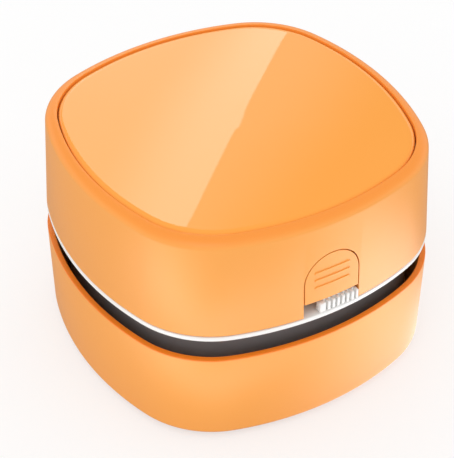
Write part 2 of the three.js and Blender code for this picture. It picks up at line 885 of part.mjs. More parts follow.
function addFilter() {
  const flangeBottom = flangeTop - filterFlangeHeight;
  const footTop = filterFootBottom + filterFootHeight;
  const seat = filterSeatRadius;
  let frame = joinAll(
    tube(filterFlangeRadius, seat, flangeBottom, flangeTop, filterSides),
    rod(filterFootRadius, filterFootBottom, footTop, 0, 0, filterSides),
  );
  const ribLow = filterFootBottom + filterFootHeight / 2;
  const ribHigh = flangeBottom + filterFlangeHeight / 2;
  const ribInnerFoot = filterFootRadius - filterRibDepth;
  const ribSlope = (seat - ribInnerFoot) / (ribHigh - ribLow);
  const ribInnerAt = (z) => ribInnerFoot + ribSlope * (z - ribLow);
  const rib = new THREE.Shape();
  rib.moveTo(ribInnerFoot, ribLow);
  rib.lineTo(filterFootRadius, ribLow);
  rib.lineTo(filterFlangeRadius - filterRibDepth, ribHigh);
  rib.lineTo(seat, ribHigh);
  for (let i = 0; i < filterRibs; i += 1) {
    const geometry = new THREE.ExtrudeGeometry(rib, { depth: filterRibWidth, bevelEnabled: false });
    geometry.rotateX(Math.PI / 2);
    geometry.translate(0, filterRibWidth / 2, 0);
    geometry.rotateZ((2 * Math.PI * i) / filterRibs);
    frame = joinAll(frame, solid(geometry));
  }
  const collarBottom = wellFloorBottom - collarHeight;
  frame = cutAll(frame, rod(seat, collarBottom - fitGap, flangeTop + overrun, 0, 0, filterSides));
  addMesh("filter_frame", frame, "white");
  const cupTop = collarBottom - fitGap;
  const cupFoot = footTop + fitGap;
  const footRadius = ribInnerAt(cupFoot) - fitGap;
  const topRadius = ribInnerAt(cupTop) - fitGap;
  const cup = turned([
    [0, cupFoot],
    [footRadius, cupFoot],
    [topRadius, cupTop],
    [topRadius - meshWall, cupTop],
    [footRadius - meshWall, cupFoot + meshWall],
    [0, cupFoot + meshWall],
  ], filterSides);
  addMesh("filter_mesh", cup, "mesh");
}

function addFanHousing() {
  const underTop = housingTopZ - housingTop;
  let housing = cutAll(
    rod(housingRadius, housingBottom, housingTopZ),
    rod(housingRadius - housingWall, housingBottom - overrun, underTop),
  );
  for (const [x, y] of roundPlaces(4, earReach, Math.PI / 4)) {
    const earTop = housingBottom + earThickness;
    housing = joinAll(housing, rod(earRadius, housingBottom, earTop, x, y, bossSides));
  }
  housing = cutAll(housing, rod(housingRadius - housingWall, housingBottom - overrun, underTop));
  for (const [x, y] of roundPlaces(4, earReach, Math.PI / 4)) {
    housing = cutAll(housing, screwHole(housingBottom - overrun, housingTopZ, x, y));
  }
  for (let i = 0; i < housingWindows; i += 1) {
    const middle = (2 * Math.PI * (i + 1 / 2)) / housingWindows;
    const window = arcBar(housingRadius, 4 * housingWall, housingWindowDegrees, middle);
    const [low, high] = [housingBottom + earThickness, housingBottom + housingWindowHeight];
    housing = cutAll(housing, raised(window, low, high, windowSteps));
  }
  housing = cutAll(housing, rod(motorBossRadius, underTop - overrun, housingTopZ + overrun));
  for (const side of [-1, 1]) {
    const hole = screwHole(underTop - overrun, housingTopZ + overrun, side * motorScrewReach, 0);
    housing = cutAll(housing, hole);
  }
  addMesh("fan_housing", housing, "smoke");
}

function addFanScrews() {
  const headTop = housingBottom + earThickness + fitGap + screwHeadHeight;
  roundPlaces(4, earReach, Math.PI / 4).forEach(([x, y], i) => {
    addMesh(`fan_screw_${i + 1}`, screw(headTop, fanScrewLength, x, y, false), "steel");
  });
}

function addMotor() {
  const bore = shaftRadius + fitGap;
  const capTop = motorTop + motorCapHeight;
  let can = cutAll(
    turned([
      [0, motorBottom], [motorRadius - motorRound, motorBottom], [motorRadius, motorBottom + motorRound],
      [motorRadius, motorTop - motorRound], [motorRadius - motorRound, motorTop], [0, motorTop],
    ], motorSides),
    rod(bore, motorBottom - overrun, motorTop + overrun, 0, 0, pinSides),
  );
  for (const side of [-1, 1]) {
    const pilotTop = motorBottom + motorScrewLength;
    can = cutAll(can, screwHole(motorBottom - overrun, pilotTop, side * motorScrewReach, 0));
  }
  addMesh("motor_can", can, "steel");
  const capRadius = motorRadius - motorRound - fitGap;
  let cap = joinAll(
    rod(capRadius, motorTop + fitGap, capTop, 0, 0, motorSides),
    rod(bearingRadius, capTop - motorCapHeight / 2, capTop + bearingHeight, 0, 0, padSides),
  );
  cap = cutAll(cap, rod(bore, motorTop, capTop + bearingHeight + overrun, 0, 0, pinSides));
  addMesh("motor_end_cap", cap, "black");
  [-1, 1].forEach((side, i) => {
    const y = side * terminalReach;
    const tab = block(
      -terminalWidth / 2, terminalWidth / 2, y - terminalThickness / 2, y + terminalThickness / 2,
      capTop + fitGap, capTop + fitGap + terminalHeight,
    );
    addMesh(`motor_terminal_${i + 1}`, tab, "brass");
  });
  const headZ = housingTopZ - housingTop - fitGap - motorScrewHead;
  [-1, 1].forEach((side, i) => {
    const length = housingTop + motorScrewLength - fitGap;
    const piece = screw(headZ, length, side * motorScrewReach, 0, true, motorScrewHead);
    addMesh(`motor_screw_${i + 1}`, piece, "steel");
  });
}

// Rotor

// Plan of one backward-curved blade, from the hub side to the rim
function bladeShape() {
  const sweep = THREE.MathUtils.degToRad(bladeSweepDegrees);
  const centreLine = Array.from({ length: bladeSteps + 1 }, (_, i) => {
    const share = i / bladeSteps;
    const radius = bladeInnerRadius + (impellerRadius - bladeInnerRadius) * share;
    const angle = -sweep * share * share;
    return new THREE.Vector2(radius * Math.cos(angle), radius * Math.sin(angle));
  });
  const edge = (side) => centreLine.map((point, i) => {
    const before = centreLine[Math.max(i - 1, 0)];
    const after = centreLine[Math.min(i + 1, bladeSteps)];
    const across = new THREE.Vector2(before.y - after.y, after.x - before.x).normalize();
    return point.clone().addScaledVector(across, (side * bladeThickness) / 2);
  });
  return new THREE.Shape([...edge(1), ...edge(-1).reverse()]);
}

function addRotor() {
  const bladeBottom = wellFloorTop + runGap;
  const plateBottom = impellerTop - backplate;
  const hubTop = impellerTop;
  const hubBottom = hubTop - hubHeight;
  const hub = [
    [0, hubBottom],
    [hubRadius * hubNoseShare, hubBottom],
    [hubRadius, hubBottom + hubHeight * hubNoseShare],
    [hubRadius, hubTop],
    [0, hubTop],
  ];
  let impeller = joinAll(
    rod(impellerRadius, plateBottom, impellerTop, 0, 0, motorSides),
    turned(hub, padSides),
  );
  for (let i = 0; i < bladeCount; i += 1) {
    const geometry = new THREE.ExtrudeGeometry(bladeShape(), {
      depth: bladeHeight + backplate / 2, bevelEnabled: false,
    });
    geometry.translate(0, 0, bladeBottom);
    geometry.rotateZ((2 * Math.PI * i) / bladeCount);
    impeller = joinAll(impeller, solid(geometry));
  }
  const bore = rod(shaftRadius + fitGap, hubBottom - overrun, hubTop + overrun, 0, 0, pinSides);
  addMesh("impeller", cutAll(impeller, bore), "white");
  addMesh("motor_shaft", rod(shaftRadius, hubBottom, shaftTop, 0, 0, pinSides), "steel");
}

// Batteries, their tray and contacts

function addBatteries() {
  [-1, 1].forEach((side, i) => {
    const body = batteryLength - batteryNub;
    const geometry = new THREE.LatheGeometry([
      new THREE.Vector2(0, 0),
      new THREE.Vector2(batteryRadius - batteryRound, 0),
      new THREE.Vector2(batteryRadius, batteryRound),
      new THREE.Vector2(batteryRadius, body - batteryRound),
      new THREE.Vector2(batteryRadius - batteryRound, body),
      new THREE.Vector2(batteryNubRadius, body),
      new THREE.Vector2(batteryNubRadius, batteryLength),
      new THREE.Vector2(0, batteryLength),
    ], batterySides);
    geometry.translate(0, springRoom / 2 - batteryLength / 2 - fitGap, 0);
    if (side > 0) {
      geometry.rotateZ(Math.PI);
    }
    geometry.translate(side * batteryX, 0, batteryZ);
    addMesh(`battery_${i + 1}`, solid(geometry), "battery");
  });
}

// Rounded rectangle in the plan
function plate(halfX, halfY, radius) {
  const shape = new THREE.Shape();
  shape.absarc(halfX - radius, halfY - radius, radius, 0, Math.PI / 2);
  shape.absarc(radius - halfX, halfY - radius, radius, Math.PI / 2, Math.PI);
  shape.absarc(radius - halfX, radius - halfY, radius, Math.PI, (3 * Math.PI) / 2);
  shape.absarc(halfX - radius, radius - halfY, radius, (3 * Math.PI) / 2, 2 * Math.PI);
  return shape;
}

function addBatteryTray() {
  let tray = raised(plate(trayHalfX, trayOuterY, trayEarRadius), trayBottom, trayTop, sideSteps);
  for (const [x, y] of spreadPlaces(trayPostX, trayPostY)) {
    const inner = Math.sign(x) * (trayHalfX - trayEarRadius);
    const [lowX, highX] = [Math.min(inner, x), Math.max(inner, x)];
    const [lowY, highY] = [y - trayEarRadius, y + trayEarRadius];
    tray = joinAll(
      tray,
      rod(trayEarRadius, trayBottom, trayTop, x, y, bossSides),
      block(lowX, highX, lowY, highY, trayBottom, trayTop),
    );
    tray = cutAll(tray, screwHole(trayBottom - overrun, trayTop + overrun, x, y));
  }
  for (const sideX of [-1, 1]) {
    const near = sideX * (mechanismHalfX + fitGap);
    const far = sideX * (trayHalfX - trayEarRadius);
    const [lowX, highX] = [Math.min(near, far), Math.max(near, far)];
    for (const sideY of [-1, 1]) {
      const [lowY, highY] = sideY > 0 ? [trayInnerY, trayOuterY] : [-trayOuterY, -trayInnerY];
      tray = joinAll(tray, block(
        lowX, highX, lowY, highY, trayTop - trayPlate / 2, trayTop + trayWallHeight,
      ));
    }
    const saddle = new THREE.Shape();
    const middle = sideX * batteryX;
    const saddleHalf = batteryRadius + saddleInset;
    const bottom = trayTop - trayPlate / 2;
    const top = trayTop + saddleHeight;
    const cradle = batteryRadius + fitGap;
    const reach = Math.sqrt(cradle * cradle - (batteryZ - top) * (batteryZ - top));
    const startAngle = Math.atan2(top - batteryZ, reach);
    saddle.moveTo(middle - saddleHalf, bottom);
    saddle.lineTo(middle + saddleHalf, bottom);
    saddle.lineTo(middle + saddleHalf, top);
    saddle.lineTo(middle + reach, top);
    saddle.absarc(middle, batteryZ, cradle, startAngle, -Math.PI - startAngle, true);
    saddle.lineTo(middle - saddleHalf, top);
    for (const y of [-saddleReach, saddleReach]) {
      const [front, back] = [y - saddleThickness / 2, y + saddleThickness / 2];
      tray = joinAll(tray, runThrough(saddle, front, back, archSteps));
    }
  }
  const [cutLow, cutHigh] = [trayBottom - overrun, trayTop + overrun];
  const [cutFront, cutBack] = [-trayOuterY - overrun, -(motorRadius + mechanismSetback)];
  tray = cutAll(
    tray,
    rod(motorRadius + 2 * fitGap, cutLow, cutHigh, 0, 0, motorSides),
    block(-mechanismHalfX, mechanismHalfX, cutFront, cutBack, cutLow, cutHigh),
  );
  addMesh("battery_tray", tray, "black");
  const headTop = trayTop + fitGap + screwHeadHeight;
  spreadPlaces(trayPostX, trayPostY).forEach(([x, y], i) => {
    addMesh(`tray_screw_${i + 1}`, screw(headTop, trayScrewLength, x, y, false), "steel");
  });
}

function addContacts() {
  const plateOuterY = trayInnerY - fitGap;
  const plateInnerY = plateOuterY - plateThickness;
  let number = 1;
  for (const sideX of [-1, 1]) {
    for (const sideY of [-1, 1]) {
      const x = sideX * batteryX;
      const [lowY, highY] = sideY > 0 ? [plateInnerY, plateOuterY] : [-plateOuterY, -plateInnerY];
      const top = batteryZ + plateHeight / 2;
      const contact = joinAll(
        block(x - plateWidth / 2, x + plateWidth / 2, lowY, highY, batteryZ - plateHeight / 2, top),
        block(x - plateTabWidth / 2, x + plateTabWidth / 2, lowY, highY, batteryZ, top + plateTabHeight),
      );
      addMesh(`contact_plate_${number}`, contact, "brass");
      number += 1;
    }
  }
  [-1, 1].forEach((side, i) => {
    const length = springRoom - 3 * fitGap - 2 * contactWire;
    const geometry = coil(
      `contact_spring_${i + 1}`, contactSpringWide, contactSpringNarrow, length, contactCurls, contactWire,
    );
    geometry.rotateX(-Math.PI / 2);
    geometry.translate(0, fitGap + contactWire - plateInnerY, 0);
    if (side > 0) {
      geometry.rotateZ(Math.PI);
    }
    geometry.translate(side * batteryX, 0, batteryZ);
    addMesh(`contact_spring_${i + 1}`, solid(geometry), "steel");
  });
}

// Cover

// Upright arch in X and Z: straight sides, then a half circle
function archShape(half, bottom, centreZ) {
  const arch = new THREE.Shape();
  arch.moveTo(-half, bottom);
  arch.lineTo(half, bottom);
  arch.absarc(0, centreZ, half, 0, Math.PI, false);
  return arch;
}

function addUpperShell() {
  const edge = Array.from({ length: edgeSteps + 2 }, (_, i) => {
    const angle = (Math.PI / 2) * (i / (edgeSteps + 1));
    return [
      seamHalf + (coverTopHalf - seamHalf) * Math.cos(angle),
      coverSideTop + coverEdgeRadius * Math.sin(angle),
    ];
  });
  const innerTop = coverHalfAt(ledgeBottom) - coverWall;
  let shell = loft([
    [ringHalf, coverBottom],
    ...edge,
    [seamHalf, ledgeTop],
    [seamHalf - ledgeReach, ledgeTop],
    [seamHalf - ledgeReach, ledgeBottom],
    [innerTop, ledgeBottom],
    [ringHalf - coverWall, coverBottom],
  ], true);
  const latchFace = coverHalfAt(latchZ) - coverWall;
  const [latchFront, latchBack] = [-(latchFace + coverWall / 2), -(latchFace - latchDepth)];
  const latchTop = latchZ + latchHeight;
  shell = joinAll(shell, block(-latchHalf, latchHalf, latchFront, latchBack, latchZ, latchTop));
  const notchBack = -(ringHalf - pinInset - barrelRadius);
  const arch = archShape(notchHalf, coverBottom - overrun, archCentreZ);
  const notch = runThrough(arch, -(ringHalf + overrun), notchBack, archSteps);
  addMesh("upper_shell", cutAll(shell, notch), "orange");
}

function addTopPanel() {
  const lowTop = coverTop - panelRound / 3;
  const dome = Array.from({ length: panelRings }, (_, i) => {
    const share = 1 - (i + 1) / (panelRings + 1);
    const rise = panelDome * (1 - share * share);
    return [(panelHalf - panelRound) * share, lowTop + panelRound / 2 + rise];
  });
  const panel = loft([
    [panelHalf - panelRound / 2, panelBottom],
    [panelHalf, panelBottom + panelRound / 2],
    [panelHalf, coverTop - panelRound],
    [panelHalf - panelRound / 3, lowTop],
    [panelHalf - panelRound, lowTop + panelRound / 2],
    ...dome,
  ]);
  addMesh("top_panel", panel, "glossyOrange");
}

// Release button, its pin and its spring

// A layer of the cover's wall at the front, between two depths below its surface
function wallLayer(depth, thickness) {
  const outer = (z) => coverHalfAt(z) - depth;
  const inner = (z) => coverHalfAt(z) - depth - thickness;
  return loft([
    [outer(coverBottom), coverBottom], [outer(coverSideTop), coverSideTop],
    [inner(coverSideTop), coverSideTop], [inner(coverBottom), coverBottom],
  ], true);
}

function frontArch(half, bottom) {
  return runThrough(archShape(half, bottom, archCentreZ), -(ringHalf + overrun), 0, archSteps);
}

function addReleaseButton() {
  const flangeDepth = coverWall + fitGap;
  let button = joinAll(
    wallLayer(0, flangeDepth + flangeThickness / 2).intersect(frontArch(tabHalf, tabBottom)),
    wallLayer(flangeDepth, flangeThickness).intersect(frontArch(flangeHalf, tabBottom)),
  );
  for (let i = 0; i < gripBars; i += 1) {
    const low = archCentreZ + gripRise + (i - (gripBars - 1) / 2) * gripPitch;
    const bar = block(-gripHalf, gripHalf, -ringHalf, 0, low, low + gripHeight);
    button = joinAll(button, wallLayer(-gripDepth, gripDepth + coverWall / 2).intersect(bar));
  }
  const webFront = -(coverHalfAt(pinZ) - flangeDepth - flangeThickness / 2);
  const [webLow, webHigh] = [pinZ - barrelRadius / 2, pinZ + barrelRadius / 2];
  button = joinAll(
    button,
    crossRod(barrelRadius, barrelHalf, pinY, pinZ, barrelSides),
    block(-barrelHalf, barrelHalf, webFront, pinY, webLow, webHigh),
  );
  button = cutAll(button, crossRod(pinRadius + fitGap, barrelHalf + overrun, pinY, pinZ, pinSides));
  const latchTip = -(coverHalfAt(latchZ) - coverWall - latchDepth);
  const tongueFront = latchTip + fitGap + noseDepth;
  const tongueBack = tongueFront + tongueThickness;
  const tongueMiddle = tongueFront + tongueThickness / 2;
  const noseFront = tongueFront - noseDepth;
  const noseBottom = latchZ + latchHeight + fitGap;
  const tongueTop = noseBottom + noseHeight;
  const rootFront = -(coverHalfAt(tongueRootTop) - flangeDepth);
  const tonguePart = (front, back, low, high) => block(-tongueHalf, tongueHalf, front, back, low, high);
  button = joinAll(
    button,
    tonguePart(tongueFront, tongueBack, tongueRootBottom, tongueTop),
    tonguePart(rootFront, tongueMiddle, tongueRootBottom, tongueRootTop),
    tonguePart(noseFront, tongueMiddle, noseBottom, tongueTop),
  );
  addMesh("release_button", button, "orange");
  addMesh("hinge_pin", crossRod(pinRadius, pinReach, pinY, pinZ, pinSides), "steel");
  const springBack = bracketY - fitGap - returnWire;
  const springFront = tongueBack + fitGap + returnWire;
  const length = springBack - springFront;
  const geometry = coil("button_spring", returnRadius, returnRadius, length, returnCurls, returnWire);
  geometry.rotateX(-Math.PI / 2);
  geometry.translate(0, springFront, springZ);
  addMesh("button_spring", solid(geometry), "steel");
}

// Slide switch

function addSwitch() {
  const bottom = ringTop + fitGap;
  const top = bottom + knobHeight;
  const right = knobRoom;
  const left = right - knobLength;
  const front = -ringHalf;
  const stemMiddle = (left + right) / 2;
  const stemTop = top - (knobHeight - stemHeight) / 2;
  const caseFront = -(ringHalf - knobDepth - caseInset);
  const [stemLeft, stemRight] = [stemMiddle - stemWidth / 2, stemMiddle + stemWidth / 2];
  const stemBack = caseFront + stemBite;
  let knob = joinAll(
    block(left, right, front, front + knobDepth, bottom, top),
    block(stemLeft, stemRight, front + knobDepth / 2, stemBack, stemTop - stemHeight, stemTop),
  );
  for (let i = 0; i < knobGrooves; i += 1) {
    const middle = right - (i + 1 / 2) * knobGroovePitch - knobGrooveWidth / 2;
    knob = cutAll(knob, block(
      middle - knobGrooveWidth / 2, middle + knobGrooveWidth / 2, front - overrun, front + knobGrooveDepth,
      bottom - overrun, top + overrun,
    ));
  }
  addMesh("switch_knob", knob, "white");
  const slotLow = stemLeft - knobTravel - fitGap;
  const slotHigh = stemRight + fitGap;
  const body = cutAll(
    block(-caseHalf, caseHalf, caseFront, caseFront + caseDepth, bottom, bottom + caseHeight),
    block(
      slotLow, slotHigh, caseFront - overrun, stemBack + fitGap,
      stemTop - stemHeight - fitGap, stemTop + fitGap,
    ),
  );
  addMesh("switch_body", body, "steel");
}

addBaseShell();
addGlidePads();
addBaseScrews();
addBrushHolder();
addBristleStrips();
addDustCup();
addChassis();
addNeckSeal();
addFilter();
addFanHousing();
addFanScrews();
addMotor();
addRotor();
addBatteryTray();
addBatteries();
addContacts();
addUpperShell();
addTopPanel();
addReleaseButton();
addSwitch();

export default product;
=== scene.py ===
"""Looks of a desktop mini vacuum cleaner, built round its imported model.

Metres, +Z up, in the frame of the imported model. The switch faces -Y.
"""

import json
import logging
import math
import random
from collections.abc import Iterable, Sequence
from dataclasses import dataclass
from enum import Enum
from itertools import pairwise

import bmesh
import bpy
from mathutils import Matrix, Vector

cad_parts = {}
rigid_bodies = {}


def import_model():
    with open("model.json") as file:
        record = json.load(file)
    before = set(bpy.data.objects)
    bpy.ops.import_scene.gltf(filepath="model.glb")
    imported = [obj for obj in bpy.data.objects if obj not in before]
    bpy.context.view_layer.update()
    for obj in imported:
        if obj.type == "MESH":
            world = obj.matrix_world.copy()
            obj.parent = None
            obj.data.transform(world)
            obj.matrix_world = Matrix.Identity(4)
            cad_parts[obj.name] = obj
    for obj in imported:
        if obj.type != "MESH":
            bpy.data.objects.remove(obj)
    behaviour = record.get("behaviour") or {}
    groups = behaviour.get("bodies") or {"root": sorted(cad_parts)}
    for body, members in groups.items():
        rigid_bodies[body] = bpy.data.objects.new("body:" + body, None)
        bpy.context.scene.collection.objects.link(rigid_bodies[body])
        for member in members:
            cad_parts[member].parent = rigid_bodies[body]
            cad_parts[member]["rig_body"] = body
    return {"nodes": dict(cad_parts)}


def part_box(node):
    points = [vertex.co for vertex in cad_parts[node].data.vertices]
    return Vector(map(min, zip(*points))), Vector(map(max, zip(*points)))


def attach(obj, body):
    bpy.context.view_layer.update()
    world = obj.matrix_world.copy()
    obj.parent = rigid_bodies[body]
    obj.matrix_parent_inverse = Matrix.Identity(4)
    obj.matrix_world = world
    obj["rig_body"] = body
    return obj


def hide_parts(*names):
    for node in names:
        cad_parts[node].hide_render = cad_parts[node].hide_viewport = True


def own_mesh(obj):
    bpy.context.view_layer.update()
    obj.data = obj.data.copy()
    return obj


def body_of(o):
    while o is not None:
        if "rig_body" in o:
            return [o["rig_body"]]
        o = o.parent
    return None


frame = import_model()
log = logging.getLogger("vacuum")

MM = 0.001
TURN = 2 * math.pi
MERGE = 1e-6
TOOL_DEPTH = 5 * MM
GRAIN_SCALE = 2500.0

Point2 = tuple[float, float]
Profile = Sequence[Point2]


def linear(code: str) -> tuple[float, float, float, float]:
    """Turns a screen colour into the linear one that shaders take.

    Args:
        code: Six hexadecimal digits, such as "fdb064".

    Returns:
        Red, green, blue and an alpha of 1.
    """
    parts = [int(code[i:i + 2], 16) / 255 for i in (0, 2, 4)]
    red, green, blue = (
        c / 12.92 if c <= 0.04045 else ((c + 0.055) / 1.055) ** 2.4 for c in parts
    )
    return red, green, blue, 1.0


def arc(
    centre: Point2, radii: float | Point2, start: float, end: float, steps: int = 6
) -> list[Point2]:
    """Points along a round stretch of a profile, both ends among them.

    Args:
        centre: Middle of the arc.
        radii: Its radius, or its reach along each of the two axes.
        start: First angle, in degrees from the first axis.
        end: Last angle, in degrees.
        steps: Number of straight steps.

    Returns:
        The points in order.
    """
    across, upward = (radii, radii) if isinstance(radii, float) else radii
    angles = [math.radians(start + (end - start) * i / steps) for i in range(steps + 1)]
    return [(centre[0] + across * math.cos(a), centre[1] + upward * math.sin(a)) for a in angles]


# Meshes


class Combine(Enum):
    """Ways in which one solid takes up another."""

    JOIN = "UNION"
    CUT = "DIFFERENCE"
    COMMON = "INTERSECT"


class Axis(Enum):
    """Directions that a bar or a drilling runs along, as turns from +Z."""

    X = Matrix.Rotation(math.pi / 2, 4, "Y")
    Y = Matrix.Rotation(-math.pi / 2, 4, "X")
    Z = Matrix.Identity(4)


def as_object(mesh: bmesh.types.BMesh, name: str) -> bpy.types.Object:
    """Puts a bmesh into the scene as an object of its own."""
    data = bpy.data.meshes.new(name)
    mesh.to_mesh(data)
    made = bpy.data.objects.new(name, data)
    bpy.context.scene.collection.objects.link(made)
    return made


@dataclass(frozen=True)
class Outline:
    """Bowed square with round corners that every casing part follows."""

    side_share: float = 1.76
    corner_share: float = 0.56
    side_steps: int = 28
    corner_steps: int = 14

    def trace(
        self, mesh: bmesh.types.BMesh, half: float, height: float
    ) -> list[bmesh.types.BMEdge]:
        """Draws one turn of the outline into a mesh.

        Args:
            mesh: Mesh that takes the edges.
            half: Distance from the axis to the middle of a side.
            height: Height of the turn.

        Returns:
            The edges of the closed turn.
        """
        side_radius, corner_radius = half * self.side_share, half * self.corner_share
        side_centre, reach = half - side_radius, side_radius - corner_radius
        corner_centre = (side_centre + math.sqrt(2 * reach**2 - side_centre**2)) / 2
        side_angle = math.atan2(corner_centre, corner_centre - side_centre)
        bends = (
            ((side_centre, 0, height), 2 * side_angle, self.side_steps),
            ((corner_centre, corner_centre, height), TURN / 4 - 2 * side_angle, self.corner_steps),
        )
        x = side_centre + side_radius * math.cos(side_angle)
        last = [mesh.verts.new((x, -side_radius * math.sin(side_angle), height))]
        drawn = list(last)
        for quarter in range(4):
            turn = Matrix.Rotation(quarter * TURN / 4, 3, "Z")
            for centre, angle, steps in bends:
                before = set(mesh.verts)
                made = bmesh.ops.spin(
                    mesh, geom=last, cent=turn @ Vector(centre), axis=(0, 0, 1),
                    angle=angle, steps=steps,
                )
                last = [v for v in made["geom_last"] if isinstance(v, bmesh.types.BMVert)]
                drawn.extend(v for v in mesh.verts if v not in before)
        bmesh.ops.remove_doubles(mesh, verts=drawn, dist=MERGE)
        return [e for e in mesh.edges if not e.link_faces]


OUTLINE = Outline()


class Solid:
    """A closed mesh that grows by bmesh operators and booleans."""

    def __init__(self) -> None:
        """Starts with nothing."""
        self.mesh = bmesh.new()

    @classmethod
    def loft(cls, profile: Profile, closed: bool = False) -> "Solid":
        """Runs the casing outline through half-widths and heights.

        Args:
            profile: Half-width and height of each turn.
            closed: Whether the last turn joins the first, as in a wall.

        Returns:
            The solid, capped at both ends unless it is closed.
        """
        made = cls()
        turns = [*profile, profile[0]] if closed else list(profile)
        loop = OUTLINE.trace(made.mesh, *turns[0])
        ends = [loop]
        for (half, height), (next_half, next_height) in pairwise(turns):
            grown = bmesh.ops.extrude_edge_only(made.mesh, edges=loop)["geom"]
            verts = [g for g in grown if isinstance(g, bmesh.types.BMVert)]
            loop = [g for g in grown if isinstance(g, bmesh.types.BMEdge)]
            scale = next_half / half
            bmesh.ops.scale(made.mesh, vec=(scale, scale, 1), verts=verts)
            bmesh.ops.translate(made.mesh, vec=(0, 0, next_height - height), verts=verts)
        ends.append(loop)
        if not closed:
            for end in ends:
                made.cap(end)
        return made.tidy()

    def cap(self, loop: Sequence[bmesh.types.BMEdge], rings: int = 7) -> None:
        """Closes a turn of the outline with flat rings that meet on the axis."""
        for left in range(rings, 0, -1):
            grown = bmesh.ops.extrude_edge_only(self.mesh, edges=loop)["geom"]
            verts = [g for g in grown if isinstance(g, bmesh.types.BMVert)]
            loop = [g for g in grown if isinstance(g, bmesh.types.BMEdge)]
            scale = (left - 1) / left
            bmesh.ops.scale(self.mesh, vec=(scale, scale, 1), verts=verts)
        bmesh.ops.pointmerge(self.mesh, verts=verts, merge_co=(0, 0, verts[0].co.z))

    @classmethod
    def lathe(cls, profile: Profile, segments: int = 64, closed: bool = False) -> "Solid":
        """Turns a profile of radii and heights about +Z.

        Args:
            profile: Radius and height of each point.
            segments: Steps round the axis.
            closed: Whether the profile closes on itself, as in a tube.

        Returns:
            The turned solid.
        """
        made = cls()
        verts = [made.mesh.verts.new((radius, 0, height)) for radius, height in profile]
        edges = [made.mesh.edges.new(pair) for pair in pairwise(verts)]
        if closed:
            edges.append(made.mesh.edges.new((verts[-1], verts[0])))
        bmesh.ops.spin(
            made.mesh, geom=[*verts, *edges], cent=(0, 0, 0), axis=(0, 0, 1),
            angle=TURN, steps=segments, use_merge=True,
        )
        return made.tidy()

    @classmethod
    def block(cls, low: Sequence[float], high: Sequence[float], edge: float = 0.0) -> "Solid":
        """Makes a box between two corners, its edges rounded if asked."""
        made = cls()
        bmesh.ops.create_cube(made.mesh, size=1)
        low, high = Vector(low), Vector(high)
        bmesh.ops.scale(made.mesh, vec=high - low, verts=made.mesh.verts[:])
        made.move((low + high) / 2)
        if edge:
            made.soften(made.mesh.edges[:], edge)
        return made

    @classmethod
    def rod(
        cls, radius: float, low: float, high: float, at: Point2 = (0, 0),
        axis: Axis = Axis.Z, segments: int = 48,
    ) -> "Solid":
        """Makes a round bar between two places along an axis.

        Args:
            radius: Radius of the bar.
            low: Place of its first end along the axis.
            high: Place of its other end.
            at: Its place on the two other axes, in their order.
            axis: Direction that it runs along.
            segments: Steps round it.

        Returns:
            The bar.
        """
        made = cls()
        middle = (low + high) / 2
        bmesh.ops.create_cone(
            made.mesh, cap_ends=True, segments=segments, radius1=radius, radius2=radius,
            depth=high - low, matrix=axis.value,
        )
        places = {Axis.X: (middle, *at), Axis.Y: (at[0], middle, at[1]), Axis.Z: (*at, middle)}
        return made.move(places[axis])

    @classmethod
    def prism(
        cls, points: Sequence[Point2], low: float, high: float, axis: Axis = Axis.Z
    ) -> "Solid":
        """Raises a flat outline between two places along Z or Y.

        Args:
            points: Outline in X and Y, or in X and Z for a prism along Y.
            low: Lower end along the axis.
            high: Upper end along the axis.
            axis: Direction of the prism, Axis.Z or Axis.Y.

        Returns:
            The prism.
        """
        made = cls()
        upright = axis is Axis.Y
        verts = [made.mesh.verts.new((u, low, v) if upright else (u, v, low)) for u, v in points]
        face = made.mesh.faces.new(verts)
        grown = bmesh.ops.extrude_face_region(made.mesh, geom=[face])["geom"]
        step = (0, high - low, 0) if upright else (0, 0, high - low)
        raised = [g for g in grown if isinstance(g, bmesh.types.BMVert)]
        bmesh.ops.translate(made.mesh, vec=step, verts=raised)
        return made.tidy()

    @classmethod
    def wire(cls, points: Sequence[Vector], radius: float, sides: int = 4) -> "Solid":
        """Sweeps a round wire along points."""
        curve = bpy.data.curves.new("wire", "CURVE")
        curve.dimensions, curve.bevel_depth, curve.use_fill_caps = "3D", radius, True
        curve.bevel_resolution = sides
        spline = curve.splines.new("POLY")
        spline.points.add(len(points) - 1)
        for target, point in zip(spline.points, points):
            target.co = (*point, 1)
        holder = bpy.data.objects.new("wire", curve)
        made = cls()
        data = bpy.data.meshes.new_from_object(holder)
        made.mesh.from_mesh(data)
        bpy.data.objects.remove(holder)
        bpy.data.curves.remove(curve)
        bpy.data.meshes.remove(data)
        return made.tidy()

    def tidy(self) -> "Solid":
        """Merges doubles and turns the faces outwards."""
        bmesh.ops.remove_doubles(self.mesh, verts=self.mesh.verts[:], dist=MERGE)
        bmesh.ops.recalc_face_normals(self.mesh, faces=self.mesh.faces[:])
        return self

    def move(self, step: Sequence[float]) -> "Solid":
        """Shifts the whole solid."""
        bmesh.ops.translate(self.mesh, vec=Vector(step), verts=self.mesh.verts[:])
        return self

    def turn(self, angle: float, axis: str = "Z") -> "Solid":
        """Turns the whole solid about an axis through the origin."""
        matrix = Matrix.Rotation(angle, 3, axis)
        bmesh.ops.rotate(self.mesh, cent=(0, 0, 0), matrix=matrix, verts=self.mesh.verts[:])
        return self

    def soften(self, edges: Iterable[bmesh.types.BMEdge], width: float) -> "Solid":
        """Rounds edges to a width."""
        bmesh.ops.bevel(
            self.mesh, geom=list(edges), offset=width, segments=2, profile=0.5,
            affect="EDGES", material=-1, clamp_overlap=True,
        )
        return self

